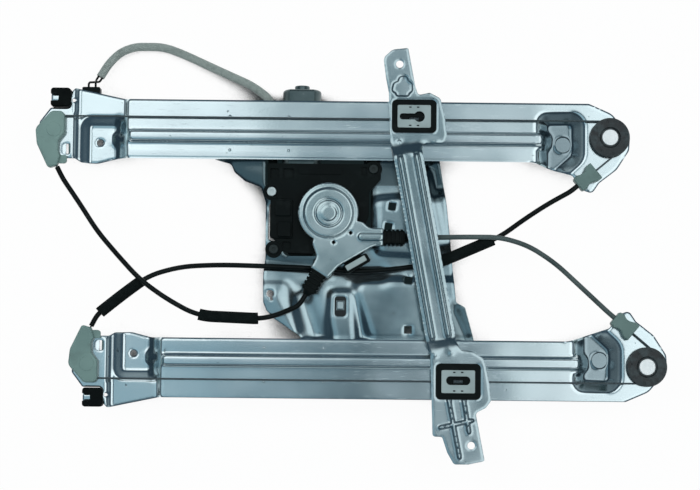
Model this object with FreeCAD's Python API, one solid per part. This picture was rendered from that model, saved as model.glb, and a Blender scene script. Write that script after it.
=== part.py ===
import FreeCAD, Part
import math
import os

# Window regulator with two rails, lying on its back.
# +X runs along the rails from the hole end to the pulley end, +Y across them, +Z towards the glass.
# The origin is midway between the two rail holes, on the back face of the rail pads.
# A rail has its own plan coordinates: s along it from its hole, t outwards from its inner edge.
# The lower rail and all that it carries are the mirror image of the upper one.

# Sheet steel
sheet = 1.5
rail_face = 12.5
rib_height = 4.5
zone_depth = 4.0
lip_depth = 5.0
wall_run = 1.0
least_corner = 0.2

# Cutting bodies reach from one of these levels to the other
cut_low = -20.0
cut_high = 60.0

# Rails
rail_inner_y = 89.5
rail_shift = 18.55
rail_width = 59.5
rail_length_end = 490.6
rib_start = 31.0
rib_end = 435.5
rib_inner_t = 15.8
rib_outer_t = 29.0
rib_wall_run = 2.0
rail_hole_radius = 3.25
rail_hole_t = 16.1
rib_corner = 1.2
pad_wall_run = 1.3
pocket_wall_run = 1.15
edge_bead_s = -26.5
edge_bead_inner_t = 2.0
edge_bead_outer_t = 44.0
edge_bead_half_width = 0.6
edge_bead_height = 1.2
tab_hole = (-26.0, 57.5)
tab_hole_radius = 1.75
key_slot = (-31.5, 8.5)
key_slot_size = (2.4, 10.0)

# Cable
cable_radius = 0.9
cable_t = 41.2
cable_z = 17.0
cable_bed_gap = 0.15
conduit_radius = 2.5
sleeve_wall = 3.3
slip_fit = 0.05
clearance = 0.3

# Pulleys
pulley_s = 511.0
pulley_radius = 19.6
pulley_pitch_radius = 16.5
pulley_thickness = 7.0
pulley_rim = 1.0
pulley_recess = 1.4
recess_gap = 1.2
recess_slope = 1.1
worn_dimples = 8
dimple_start = 10.0
dimple_radius = 1.3
dimple_depth = 0.8
dimple_inset = 3.2
pin_radius = 5.0
pin_head_radius = 8.2
pin_head_thickness = 2.0
pin_head_round = 0.8
pin_seat_wall = 3.0
pin_foot_wall = 2.0
pin_foot_thickness = 2.0
cable_exit_angle = -50.0
fitting_distance = 44.0
fitting_length = 24.0
fitting_width = 19.0
fitting_waist = 13.0
fitting_thickness = 11.0
fitting_round = 1.6
fitting_foot = (8.0, 6.0)
fitting_foot_depth = 2.0

# Cable deflector at the hole end
deflector_s = -34.3
deflector_radius = 20.0
deflector_exit_angle = 207.0
deflector_exit_run = 25.1
deflector_thickness = 10.0
deflector_round = 2.0
deflector_lead_in_s = -20.0
deflector_ring = (-44.0, 27.0)
deflector_ring_radius = 7.2
deflector_ring_rise = 0.5
deflector_ring_round = 0.4
spigot_height = 6.0
peg_place = (-52.0, 27.0)
peg_radius = 2.6
peg_depth = 2.0

# End buffer and its tab
tab_start_s = -48.5
tab_inner_t = 56.0
tab_outer_t = 64.0
buffer_wall = 5.5
buffer_length = 21.0
buffer_height = 14.0
buffer_round = 1.8
buffer_notch = (9.0, 7.6)

# Stud in the far pocket
stud_s = 465.5
stud_t = 18.5
stud_radius = 3.0
stud_length = 15.0
stud_collar_radius = 3.6
stud_head_radius = 7.8
stud_head_thickness = 1.6
stud_head_round = 0.5
stud_tip = 1.0
stud_tip_step = 0.8

# Motor plate
plate_field = 3.0
panel_face = 8.0
flange_wall_run = 0.6
panel_lower_run = 1.5
slot_pad_drop = 1.0
wing_rise = 2.5
wing_wall_run = 1.6
ridge_rise = 2.0
ridge_half_width = 3.0
ridge_wall_run = 0.8
key_hole = (154.4, -44.6)
key_hole_radius = 3.6
key_hole_tail = (156.2, -51.5)
key_hole_tail_half_width = 1.2
clip_slot = (224.8, -56.7)
clip_slot_size = (11.5, 20.0)
clip_base = (14.0, 25.0)
clip_arch = (7.6, 9.0)
clip_sheet = 1.0
clip_rise = 1.2
ear_radius = 8.5
ear_hole_radius = 2.6
ear_thickness = 4.0
ear_arm_share = 0.32
ear_arm_half_width = 6.5
ear_places = [(154.9, 57.6), (157.5, -0.3), (256.7, 81.1)]
screw_head_radius = 4.7
screw_head_height = 3.4
screw_head_round = 0.7
screw_recess = 3.4
screw_recess_depth = 1.6
screw_gap = 0.6
screw_reach = 6.0
square_hole = 7.6
rivet_radius = 2.2
rivet_dimple = 0.6
rivet_tail_radius = 2.9
rivet_tail_height = 0.8
rivet_places = [(131.0, 9.0), (131.0, 43.0), (190.0, 9.0), (190.0, 43.0)]

# Motor and gear housing
motor_x = 183.9
motor_axis_z = -11.0
can_radius = 19.5
can_thickness = 30.0
can_start_y = 86.0
can_end_y = 162.2
end_boss_radius = 7.5
end_boss_length = 4.7
housing_front = 8.6
housing_back = -14.0
worm_case_width = 27.0
worm_case_length = 86.0
worm_case_middle_y = 38.0
worm_case_half_height = 12.5
worm_case_top = 1.0
worm_socket = (46.0, 8.0)
worm_socket_depth = 17.0
worm_socket_top = 5.0
dome_radius = 34.0
dome_height = 10.0
dome_lean = 3.0
dome_floor_inset = 6.0
housing_core_inset = 2.2
housing_core_bottom = -2.0
housing_gap = 0.8
housing_seat = 0.6
core_pocket_depth = 3.0
back_cover_inset = 7.0
back_cover_sheet = 2.0
back_hub_radius = 9.0
back_hub_height = 2.0
back_ribs = 6
back_rib_height = 1.6
back_rib_half_width = 0.9
back_rib_reach = 23.0

# Drum and cover
drum_x = 211.9
drum_y = 36.0
drum_pitch_radius = 24.0
drum_bottom = 10.9
drum_height = 8.4
drum_flange = 1.2
drum_flange_radius = 27.0
shaft_radius = 4.0
shaft_bottom = -8.0
shaft_chamfer = 0.6
shaft_rise = 0.6
drum_groove_shift = 2.0
drum_hub_radius = 7.0
drum_recess_radius = 14.0
drum_recess_depth = 2.0
drum_holes = 6
drum_hole_radius = 3.2
drum_hole_circle = 17.5
cover_radius = 30.0
cover_sheet = 1.2
cover_arm_top = 20.8
cover_dome_top = 22.4
cover_skirt_bottom = 10.6
tray_bottom = 8.6
port_cable_z = 15.1
port_width = 16.5
port_thickness = 10.6
port_length = 21.0
port_groove = 1.4
port_ribs = 5
port_rib_pitch = 4.2
port_rib_share = 0.62
port_nose_length = 4.0
port_nose_radius = 5.2
port_nose_tip_radius = 3.4
port_tail_length = 12.0
port_tail_width = 11.0
port_tail_height = 7.6
port_bore_length = 60.0
port_bore_start = 20.0
left_port_edge = (203.4, -24.2)
right_port_x = 266.9
emboss_place = (254.4, 12.1)
emboss_size = (25.0, 7.0)
emboss_rise = 1.2
emboss_round = 0.8
cover_round = 1.6
step_radius = 25.6
step_sheet = 0.6
ring_radius = 13.4
ring_groove_radius = 1.0
ring_lift = 0.4
boss_radius = 9.2
boss_height = 1.0
boss_sink = 0.2
cover_hole = 3.2
cover_hole_angle = 30.0
cover_hole_places = [(217.6, 6.5), (234.3, 16.1)]
tray_gap = 0.1
tray_rim = 1.4

# Plug beside the lower arm of the drum cover; its tongue runs in under the drum tray
plug_place = (240.7, -14.1)
plug_angle = 30.2
plug_size = (27.0, 9.6)
plug_bottom = 8.8
plug_top = 15.0
plug_tongue = (18.0, 13.0)
plug_tongue_shift = (-2.0, 8.2)
plug_link_depth = 3.0
plug_link_shift = (-2.0, 3.2)
lock_size = (22.0, 5.4)
lock_shift = (-0.5, 0.6)
lock_height = 1.4

# Lift bracket
bracket_sheet = 2.0
bracket_back = 19.8
strip_rise = 5.4
bead_height = 2.4
glass_hole_radius = 3.7
upper_glass_hole = (281.7, 185.5)
lower_glass_hole = (355.4, -193.4)
upper_window = (296.6, 133.3, 44.7, 33.4)
lower_window = (342.3, -130.6, 44.7, 35.7)
window_corner = 5.0
strip_top = (290.3, 101.0)
strip_bottom = (326.3, -93.7)
strip_half_width = 15.5
bead_offsets = (-9.2, 7.2)
bead_half_width = 1.8
foot_half_width = 1.2
bead_wall_run = 0.6
tab_bead_height = 2.0
tab_bead_half_width = 1.0
clover_depth = 1.4
clover_wall_run = 0.5
strip_wall_run = 1.1
strip_flange_depth = 3.4

# Sliders
slider_half_length = 22.0
slider_inner_t = 33.5
hook_wall = 3.2
hook_floor = 2.6
hook_inner_t = 54.0
slider_frame_flange = 3.0
carrier_size = (33.4, 22.8)
carrier_thickness = 1.8
nipple_radius = 2.0
nipple_length = 9.0
nipple_gap = 0.1
frame_rise = 1.6
seat_gap = 0.1
well_wall = 1.5
well_floor = 1.0

# Sizes that follow from those above
rail_back = rail_face - sheet
rib_top = rail_face + rib_height
zone_face = rail_face - zone_depth
pad_face = sheet
pulley_t = cable_t - pulley_pitch_radius
bracket_face = bracket_back + bracket_sheet
strip_face = bracket_face + strip_rise
plate_flange_face = rail_back
slider_front = rib_top + clearance
slider_back = rail_face + clearance
deflector_t = cable_t - deflector_radius
sleeve_radius = conduit_radius + sleeve_wall
ear_top = plate_field + ear_thickness
pulley_bed_radius = pulley_pitch_radius - cable_radius - cable_bed_gap
pin_top = cable_z + pulley_thickness / 2 - pulley_recess + slip_fit


def point(x, y, z=0.0):
    return FreeCAD.Vector(x, y, z)


def parse(corner):
    # a corner is (x, y) or (x, y, fillet radius)
    return corner if len(corner) == 3 else (corner[0], corner[1], 0.0)


def counter_clockwise(corners):
    pts = [parse(c) for c in corners]
    area = sum(a[0] * b[1] - b[0] * a[1] for a, b in zip(pts, pts[1:] + pts[:1]))
    return pts if area > 0 else pts[::-1]


def unit(a, b):
    dx, dy = b[0] - a[0], b[1] - a[1]
    size = math.hypot(dx, dy)
    return dx / size, dy / size


# Moves every side of an outline inwards by distance, and keeps its corners round where they were
def inset(corners, distance):
    pts = counter_clockwise(corners)
    moved = []
    for before, here, after in zip(pts[-1:] + pts[:-1], pts, pts[1:] + pts[:1]):
        ax, ay = unit(before, here)
        bx, by = unit(here, after)
        turn = ax * by - ay * bx
        share = distance / (1.0 + ax * bx + ay * by)
        x = here[0] + share * (-ay - by)
        y = here[1] + share * (ax + bx)
        radius = here[2]
        if radius > 0:
            radius = max(radius - distance * math.copysign(1.0, turn), least_corner)
        moved.append((x, y, radius))
    return moved


# A closed outline of straight sides with an arc at each corner that has a radius
def outline_wire(corners, z):
    pts = counter_clockwise(corners)
    edges = []
    starts, ends, arcs = [], [], []
    for before, here, after in zip(pts[-1:] + pts[:-1], pts, pts[1:] + pts[:1]):
        ax, ay = unit(before, here)
        bx, by = unit(here, after)
        turn = math.atan2(ax * by - ay * bx, ax * bx + ay * by)
        radius = here[2]
        if radius <= 0 or abs(turn) < 0.01:
            starts.append(point(here[0], here[1], z))
            ends.append(point(here[0], here[1], z))
            arcs.append(None)
            continue
        room = 0.48 * min(math.dist(before[:2], here[:2]), math.dist(here[:2], after[:2]))
        trim = min(radius * math.tan(abs(turn) / 2), room)
        radius = trim / math.tan(abs(turn) / 2)
        side = math.copysign(1.0, turn)
        cx = here[0] - ax * trim - ay * radius * side
        cy = here[1] - ay * trim + ax * radius * side
        mx, my = unit((cx, cy), here)
        starts.append(point(here[0] - ax * trim, here[1] - ay * trim, z))
        ends.append(point(here[0] + bx * trim, here[1] + by * trim, z))
        arcs.append(point(cx + mx * radius, cy + my * radius, z))
    for i, middle in enumerate(arcs):
        if middle is not None:
            edges.append(Part.Arc(starts[i], middle, ends[i]).toShape())
        nxt = (i + 1) % len(arcs)
        edges.append(Part.LineSegment(ends[i], starts[nxt]).toShape())
    return Part.Wire(edges)


def block(corners, bottom, top):
    return Part.Face(outline_wire(corners, bottom)).extrude(point(0, 0, top - bottom))


def frustum(low, bottom, high, top):
    return Part.makeLoft([outline_wire(low, bottom), outline_wire(high, top)], True, True)


def rectangle(x, y, width, height, radius=0.0):
    w, h = width / 2, height / 2
    return [(x - w, y - h, radius), (x + w, y - h, radius), (x + w, y + h, radius), (x - w, y + h, radius)]


def turned(corners, x, y, degrees):
    c, s = math.cos(math.radians(degrees)), math.sin(math.radians(degrees))
    out = []
    for corner in corners:
        px, py, radius = parse(corner)
        out.append((x + (px - x) * c - (py - y) * s, y + (px - x) * s + (py - y) * c, radius))
    return out


def band(start, end, half_width, radius):
    ux, uy = unit(start, end)
    nx, ny = -uy * half_width, ux * half_width
    return [
        (start[0] + nx, start[1] + ny, radius),
        (start[0] - nx, start[1] - ny, radius),
        (end[0] - nx, end[1] - ny, radius),
        (end[0] + nx, end[1] + ny, radius),
    ]


def cylinder(radius, x, y, bottom, top):
    return Part.makeCylinder(radius, top - bottom, point(x, y, bottom))


# Cutting bodies that go right through a sheet, whatever its level
def round_hole(radius, x, y):
    return cylinder(radius, x, y, cut_low, cut_high)


def shaped_hole(corners):
    return block(corners, cut_low, cut_high)


def edges_above(shape, z):
    return [e for e in shape.Edges if e.BoundBox.ZMin > z]


def joined(shapes):
    return shapes[0].multiFuse(shapes[1:]).removeSplitter() if len(shapes) > 1 else shapes[0]


# One face of a pressed sheet. A feature is its outline at its flat, the level it starts from, the level
# of its flat and its wall's run per unit of height. The back face is the same form, a sheet further in.
def pressed_form(level, features, thickness, box):
    form = block(box, level - 60, level - thickness)
    for corners, start, flat, run in features:
        lean = math.atan(run)
        shift = thickness * (1 - math.sin(lean)) / math.cos(lean)
        height = flat - start
        over = 1.0 + thickness
        spread = abs(height) * run
        if height > 0:
            top = inset(corners, shift) if thickness else corners
            foot = inset(top, -spread - over * run)
            form = form.fuse(frustum(foot, start - over - thickness, top, flat - thickness))
        else:
            floor = inset(corners, -shift) if thickness else corners
            mouth = inset(floor, -spread - over * run)
            form = form.cut(frustum(floor, flat - thickness, mouth, start + over - thickness))
    return form


def pressed_sheet(outline, level, features, thickness, lip, no_lip):
    box = inset([(c[0], c[1]) for c in bounding(outline)], -80)
    face = pressed_form(level, features, 0.0, box)
    back = pressed_form(level, features, thickness, box)
    skin = face.cut(back).common(block(outline, level - 60, level + 40))
    if lip <= 0:
        return skin
    hollow = block(inset(outline, thickness), level - lip - 1, level + 1)
    rim = block(outline, level - lip, level).cut(hollow)
    for area in no_lip:
        rim = rim.cut(block(area, level - lip - 1, level + 1))
    return skin.fuse(rim.common(face))


def bounding(corners):
    xs = [c[0] for c in corners]
    ys = [c[1] for c in corners]
    return [(min(xs), min(ys)), (max(xs), min(ys)), (max(xs), max(ys)), (min(xs), max(ys))]


# Puts a shape made in a rail's plan coordinates on the upper or the lower rail
def on_rail(shape, which):
    if which == "upper":
        return shape.translated(point(-rail_shift, rail_inner_y, 0))
    flipped = shape.mirror(point(0, 0, 0), point(0, 1, 0))
    return flipped.translated(point(rail_shift, -rail_inner_y, 0))


# A round tube or rod along straight runs joined by tangent arcs
def rod_along(edges, radius, bore=0.0):
    wire = Part.Wire(edges)
    first = edges[0]
    start = first.valueAt(first.FirstParameter)
    heading = first.tangentAt(first.FirstParameter)
    disc = Part.Face(Part.Wire(Part.makeCircle(radius, start, heading)))
    solid = wire.makePipe(disc)
    if bore:
        hole = Part.Face(Part.Wire(Part.makeCircle(bore, start, heading)))
        solid = solid.cut(wire.makePipe(hole))
    return solid


# Straight runs through the route's points, each corner an arc as large as 0.45 of its shorter run allows
def route_edges(points):
    pts = [point(*p) for p in points]
    edges = []
    at = pts[0]
    for before, here, after in zip(pts, pts[1:], pts[2:]):
        into = (here - before).normalize()
        out = (after - here).normalize()
        half = into.getAngle(out) / 2
        trim = 0.45 * min((here - before).Length, (after - here).Length)
        radius = trim / math.tan(half)
        a = here - into * trim
        b = here + out * trim
        inward = (out - into).normalize()
        middle = here + inward * (radius / math.cos(half) - radius)
        edges.append(Part.LineSegment(at, a).toShape())
        edges.append(Part.Arc(a, middle, b).toShape())
        at = b
    edges.append(Part.LineSegment(at, pts[-1]).toShape())
    return edges


# Rail outline in plan coordinates, with the flared hole end and the head that carries the pulley
rail_outline = [
    (-45.0, -1.0, 3.0),
    (-23.8, -1.0, 4.0),
    (-18.0, -4.6, 5.0),
    (-2.0, -5.2, 20.0),
    (18.0, 0.0, 20.0),
    (434.0, 0.0, 30.0),
    (446.0, -3.8, 20.0),
    (474.6, -13.6, 4.0),
    (482.0, -27.0, 5.0),
    (494.0, -31.0, 5.0),
    (501.0, -20.5, 6.0),
    (518.5, -7.0, 14.0),
    (531.0, 12.5, 8.0),
    (532.0, 27.5, 6.0),
    (513.5, 49.5, 16.0),
    (rail_length_end, rail_width, 4.0),
    (27.0, rail_width, 6.0),
    (-24.4, 70.3, 3.0),
    (-28.0, 66.0, 1.5),
    (-28.5, tab_outer_t, 1.0),
    (tab_start_s, tab_outer_t, 1.0),
    (tab_start_s, tab_inner_t, 1.0),
    (-30.0, tab_inner_t, 1.0),
    (-31.0, 50.0, 1.5),
    (-49.0, 50.0, 3.0),
    (-60.0, 35.5, 5.0),
    (-59.5, 17.0, 8.0),
]

# Flats of the pressed areas of a rail: the sunk zone and pad round the hole, the stud pocket, the rib
zone_flat = [(-21.0, -30.0), (24.8, -30.0), (24.8, 100.0), (-21.0, 100.0)]
pad_flat = [
    (-10.2, -20.0, 1.0),
    (15.6, -20.0, 1.0),
    (15.6, 10.5, 4.0),
    (12.0, 15.5, 3.0),
    (12.0, 24.5, 3.0),
    (15.6, 28.0, 2.0),
    (15.6, 33.2, 2.5),
    (-10.2, 33.2, 2.5),
]
pocket_flat = [
    (450.6, -24.0, 1.0),
    (450.6, 10.5, 3.0),
    (455.2, 17.5, 5.0),
    (455.2, 27.0, 5.0),
    (450.6, 32.5, 3.0),
    (450.6, 38.0, 3.0),
    (474.2, 38.6, 3.0),
    (474.2, 8.0, 6.0),
    (452.0, -12.0, 2.0),
    (452.0, -24.0, 1.0),
]

# Where the rim of the rail has no lip: round the hole end, and at the hook of the head
no_lip_areas = [
    [(-70, -20), (-24, -20), (-24, 72), (-70, 72)],
    [(476, -40), (500, -40), (500, -12), (476, -12)],
]


def rail():
    rib_flat = rectangle(
        (rib_start + rib_end) / 2,
        (rib_inner_t + rib_outer_t) / 2,
        rib_end - rib_start,
        rib_outer_t - rib_inner_t - 2 * rib_wall_run,
        rib_corner,
    )
    bead_flat = band(
        (edge_bead_s, edge_bead_outer_t),
        (edge_bead_s, edge_bead_inner_t),
        edge_bead_half_width,
        edge_bead_half_width / 2,
    )
    features = [
        (rib_flat, rail_face, rib_top, rib_wall_run / rib_height),
        (zone_flat, rail_face, zone_face, wall_run),
        (pad_flat, zone_face, pad_face, pad_wall_run),
        (pocket_flat, rail_face, pad_face, pocket_wall_run),
        (bead_flat, rail_face, rail_face + edge_bead_height, wall_run),
    ]
    body = pressed_sheet(rail_outline, rail_face, features, sheet, lip_depth, no_lip_areas)
    holes = [
        round_hole(rail_hole_radius, 0, rail_hole_t),
        round_hole(stud_collar_radius, stud_s, stud_t),
        round_hole(pin_radius, pulley_s, pulley_t),
        round_hole(peg_radius, *peg_place),
        round_hole(tab_hole_radius, *tab_hole),
        shaped_hole(rectangle(*key_slot, *key_slot_size, 1.0)),
        fitting_slot(),
    ]
    for place in rivet_places:
        holes.append(round_hole(rivet_radius, *place))
    return body.cut(Part.makeCompound(holes)).removeSplitter()


def rail_rivets():
    rivets = []
    for s, t in rivet_places:
        shank = cylinder(rivet_radius, s, t, rail_back - sheet, rail_face)
        dimple_middle = point(s, t, rail_face + rivet_radius - rivet_dimple)
        shank = shank.cut(Part.makeSphere(rivet_radius, dimple_middle))
        tail_top = rail_back - sheet
        tail = cylinder(rivet_tail_radius, s, t, tail_top - rivet_tail_height, tail_top)
        rivets.append(shank.fuse(tail).removeSplitter())
    return Part.makeCompound(rivets)


def rail_stud():
    head = cylinder(stud_head_radius, stud_s, stud_t, pad_face, pad_face + stud_head_thickness)
    head = head.makeFillet(stud_head_round, [head.Edges[0]])
    collar = cylinder(stud_collar_radius, stud_s, stud_t, 0, pad_face)
    shank = cylinder(stud_radius, stud_s, stud_t, -stud_length, 0)
    tip_end = point(stud_s, stud_t, -stud_length - stud_tip)
    tip = Part.makeCone(stud_radius - stud_tip_step, stud_radius, stud_tip, tip_end)
    return joined([head, collar, shank, tip])


# The cable of one rail runs from the conduit through the deflector, along the rail and round the pulley
def deflector_exit():
    a = math.radians(deflector_exit_angle)
    place = point(
        deflector_s + deflector_radius * math.cos(a), deflector_t + deflector_radius * math.sin(a), cable_z
    )
    return place, point(-math.sin(a), math.cos(a), 0)


def pulley_exit():
    a = math.radians(cable_exit_angle)
    place = point(
        pulley_s + pulley_pitch_radius * math.cos(a), pulley_t + pulley_pitch_radius * math.sin(a), cable_z
    )
    return place, point(math.sin(a), -math.cos(a), 0)


def deflector_path():
    exit_place, heading = deflector_exit()
    middle_angle = math.radians((90 + deflector_exit_angle) / 2)
    middle = point(
        deflector_s + deflector_radius * math.cos(middle_angle),
        deflector_t + deflector_radius * math.sin(middle_angle),
        cable_z,
    )
    top = point(deflector_s, cable_t, cable_z)
    return [
        Part.LineSegment(exit_place + heading * deflector_exit_run, exit_place).toShape(),
        Part.Arc(exit_place, middle, top).toShape(),
    ]


def rail_cable():
    exit_place, heading = pulley_exit()
    middle_angle = math.radians((90 + cable_exit_angle) / 2)
    middle = point(
        pulley_s + pulley_pitch_radius * math.cos(middle_angle),
        pulley_t + pulley_pitch_radius * math.sin(middle_angle),
        cable_z,
    )
    top = point(pulley_s, cable_t, cable_z)
    conduit_end = exit_place + heading * (fitting_distance + fitting_length / 2)
    edges = deflector_path() + [
        Part.LineSegment(point(deflector_s, cable_t, cable_z), top).toShape(),
        Part.Arc(top, middle, exit_place).toShape(),
        Part.LineSegment(exit_place, conduit_end).toShape(),
    ]
    return rod_along(edges, cable_radius)


def pulley():
    half = pulley_thickness / 2
    bore = pin_radius + slip_fit
    recess_radius = pin_head_radius + recess_gap
    profile = [
        point(bore, 0, -half),
        point(pulley_radius, 0, -half),
        point(pulley_radius, 0, -half + pulley_rim),
        point(pulley_bed_radius, 0, -cable_radius),
        point(pulley_bed_radius, 0, cable_radius),
        point(pulley_radius, 0, half - pulley_rim),
        point(pulley_radius, 0, half),
        point(recess_radius + recess_slope, 0, half),
        point(recess_radius, 0, half - pulley_recess),
        point(bore, 0, half - pulley_recess),
    ]
    face = Part.Face(Part.makePolygon(profile + profile[:1]))
    wheel = face.revolve(point(0, 0, 0), point(0, 0, 1), 360)
    circle = pulley_radius - dimple_inset
    for i in range(worn_dimples):
        a = math.radians(360 / worn_dimples * i + dimple_start)
        x, y = circle * math.cos(a), circle * math.sin(a)
        wheel = wheel.cut(cylinder(dimple_radius, x, y, half - dimple_depth, half + 1))
    return wheel.translated(point(pulley_s, pulley_t, cable_z))


def pulley_pin():
    pulley_foot = cable_z - pulley_thickness / 2 - slip_fit
    seat = cylinder(pin_radius + pin_seat_wall, pulley_s, pulley_t, rail_face, pulley_foot)
    shank = cylinder(pin_radius, pulley_s, pulley_t, rail_back - 1.0, pin_top)
    foot_bottom = rail_back - pin_foot_thickness
    foot = cylinder(pin_radius + pin_foot_wall, pulley_s, pulley_t, foot_bottom, rail_back)
    head = cylinder(pin_head_radius, pulley_s, pulley_t, pin_top, pin_top + pin_head_thickness)
    rim = [e for e in edges_above(head, pin_top + pin_head_round / 2) if e.BoundBox.ZLength < 0.01]
    head = head.makeFillet(pin_head_round, rim)
    return joined([foot, shank, seat, head])


def conduit_fitting():
    length = fitting_length
    half, waist = fitting_width / 2, fitting_waist / 2
    plan = [
        (0.0, -half, 1.0),
        (5.0, -half, 2.0),
        (11.0, -waist, 4.0),
        (15.0, -waist, 4.0),
        (19.0, -half + 1.0, 2.0),
        (length, -half + 2.2, 2.0),
        (length, half - 2.2, 2.0),
        (19.0, half - 1.0, 2.0),
        (15.0, waist, 4.0),
        (11.0, waist, 4.0),
        (5.0, half, 2.0),
        (0.0, half, 1.0),
    ]
    body = block(plan, rail_face, rail_face + fitting_thickness)
    body = body.makeFillet(fitting_round, edges_above(body, rail_face + 1))
    foot = block(foot_plan(), rail_back - fitting_foot_depth, rail_face)
    body = body.fuse(foot).removeSplitter()
    bore = Part.makeCylinder(cable_radius + slip_fit, length + 2, point(-1, 0, cable_z), point(1, 0, 0))
    return at_fitting(body.cut(bore))


def foot_plan():
    return rectangle(fitting_length / 2, 0, *fitting_foot, 1.0)


def fitting_slot():
    return at_fitting(shaped_hole(foot_plan()))


# Puts a shape made along +X where the fitting lies on the cable's run from the pulley
def at_fitting(shape):
    exit_place, heading = pulley_exit()
    shape.rotate(point(0, 0, 0), point(0, 0, 1), math.degrees(math.atan2(heading.y, heading.x)))
    start = exit_place + heading * (fitting_distance - fitting_length / 2)
    return shape.translated(point(start.x, start.y, 0))


deflector_plan = [
    (-33.5, 41.5, 2.0),
    (-36.5, 45.6, 4.0),
    (-47.0, 45.6, 6.0),
    (-62.6, 28.0, 8.0),
    (-61.0, 12.5, 10.0),
    (-49.5, -11.5, 3.0),
    (-40.5, -9.0, 2.0),
    (-37.5, 0.5, 2.0),
    (-39.5, 6.0, 2.0),
    (-39.5, 16.0, 2.0),
    (-33.5, 24.0, 3.0),
]


spigot_plan = [(-40.5, -6.5, 1.0), (-31.5, -6.5, 3.0), (-31.5, 1.5, 1.0), (-40.5, 1.5, 1.0)]


def cable_deflector():
    top = rail_face + deflector_thickness
    body = block(deflector_plan, rail_face, top)
    body = body.makeFillet(deflector_round, edges_above(body, rail_face + 1))
    ring = cylinder(deflector_ring_radius, *deflector_ring, rail_face + 2, top + deflector_ring_rise)
    ring = ring.makeFillet(deflector_ring_round, edges_above(ring, rail_face + 3))
    spigot = block(spigot_plan, rail_face, rail_face + spigot_height)
    peg = cylinder(peg_radius, *peg_place, rail_back - peg_depth, rail_face)
    body = joined([body, ring, spigot, peg])
    lead_in = Part.LineSegment(
        point(deflector_s, cable_t, cable_z), point(deflector_lead_in_s, cable_t, cable_z)
    ).toShape()
    return body.cut(rod_along(deflector_path() + [lead_in], cable_radius + slip_fit))


def end_buffer():
    start = tab_start_s
    end = tab_start_s + buffer_length - 0.5
    mid_z = rail_face - sheet / 2
    top = mid_z + buffer_height / 2
    plan = [
        (end, tab_inner_t - buffer_wall, 4.0),
        (end, tab_outer_t + buffer_wall, 4.0),
        (start, tab_outer_t + buffer_wall, 3.0),
        (start, tab_inner_t - buffer_wall, 3.0),
    ]
    body = block(plan, mid_z - buffer_height / 2 + 1, top)
    body = body.makeFillet(buffer_round, edges_above(body, top - 0.5))
    notch_plan = rectangle(start + 3.5, (tab_inner_t + tab_outer_t) / 2, *buffer_notch, 1.5)
    return body.cut(block(notch_plan, rail_back, top + 1)).cut(buffer_slot())


# The tab of the rail runs through the buffer, whose mouth rides over the root of the tab
def buffer_slot():
    far, root_s, root_end = tab_start_s - 3.0, -32.0, -20.0
    tab = block(
        [(far, tab_inner_t), (root_end, tab_inner_t), (root_end, tab_outer_t), (far, tab_outer_t)],
        rail_back,
        rail_face,
    )
    root = block([(root_s, 40.0), (root_end, 40.0), (root_end, 80.0), (root_s, 80.0)], rail_back, rail_face)
    return tab.fuse(root)


# Motor plate
plate_outline = [
    (97.0, 140.0, 3.0),
    (96.0, 90.0, 3.0),
    (113.6, 85.3, 5.0),
    (117.0, 77.3, 4.0),
    (127.8, 68.4, 8.0),
    (143.8, 62.5, 3.0),
    (148.7, 47.6, 3.0),
    (149.2, -7.4, 3.0),
    (147.0, -26.4, 3.0),
    (147.6, -53.4, 3.0),
    (151.0, -61.4, 3.0),
    (158.1, -69.3, 2.0),
    (185.3, -87.1, 2.0),
    (185.3, -139.0, 3.0),
    (366.0, -139.0, 3.0),
    (358.1, -87.4, 3.0),
    (349.5, -56.5, 3.0),
    (340.5, -51.6, 3.0),
    (330.6, 44.3, 3.0),
    (323.2, 89.8, 3.0),
    (318.0, 140.0, 3.0),
]
housing_window = [
    (148.0, 97.0, 0.0),
    (148.0, 63.5, 2.0),
    (163.5, 63.5, 3.0),
    (163.5, 50.0, 3.0),
    (152.0, 46.0, 3.0),
    (152.0, 9.5, 3.0),
    (166.5, 6.0, 3.0),
    (166.5, -6.5, 6.0),
    (243.0, -6.5, 10.0),
    (254.5, 20.0, 10.0),
    (254.5, 60.0, 6.0),
    (247.0, 72.0, 3.0),
    (247.0, 97.0, 0.0),
]
panel_upper = [
    (258.0, 50.0, 4.0),
    (263.0, -1.0, 3.0),
    (302.0, -3.0, 6.0),
    (318.0, 4.0, 6.0),
    (370.0, 16.0, 1.0),
    (370.0, 60.0, 1.0),
]
panel_lower = [
    (240.0, -34.0, 9.0),
    (262.0, -32.0, 3.0),
    (400.0, -32.0, 1.0),
    (400.0, -84.0, 2.0),
    (256.0, -84.0, 4.0),
]
slot_pad = [
    (215.5, -42.5, 4.0),
    (237.0, -42.5, 3.0),
    (241.0, -100.0, 3.0),
    (219.5, -100.0, 5.0),
    (214.5, -70.0, 20.0),
]
wing_pad = [
    (130.0, -35.0, 3.0),
    (171.0, -35.0, 6.0),
    (177.5, -62.0, 20.0),
    (190.0, -120.0, 3.0),
    (130.0, -120.0, 3.0),
]
upper_ridge = band((308.0, 80.0), (322.0, 12.0), ridge_half_width, 2.5)
lower_ridge = band((316.0, -20.0), (326.0, -74.0), ridge_half_width, 2.5)
flange_upper = [(80.0, 94.6), (345.0, 94.6), (345.0, 160.0), (80.0, 160.0)]
flange_lower = [(170.0, -94.6), (380.0, -94.6), (380.0, -160.0), (170.0, -160.0)]
square_places = [(275.8, 44.0, -8.0), (272.1, 23.6, -8.0), (292.7, -29.9, -8.0), (292.5, -79.5, 0.0)]


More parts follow.
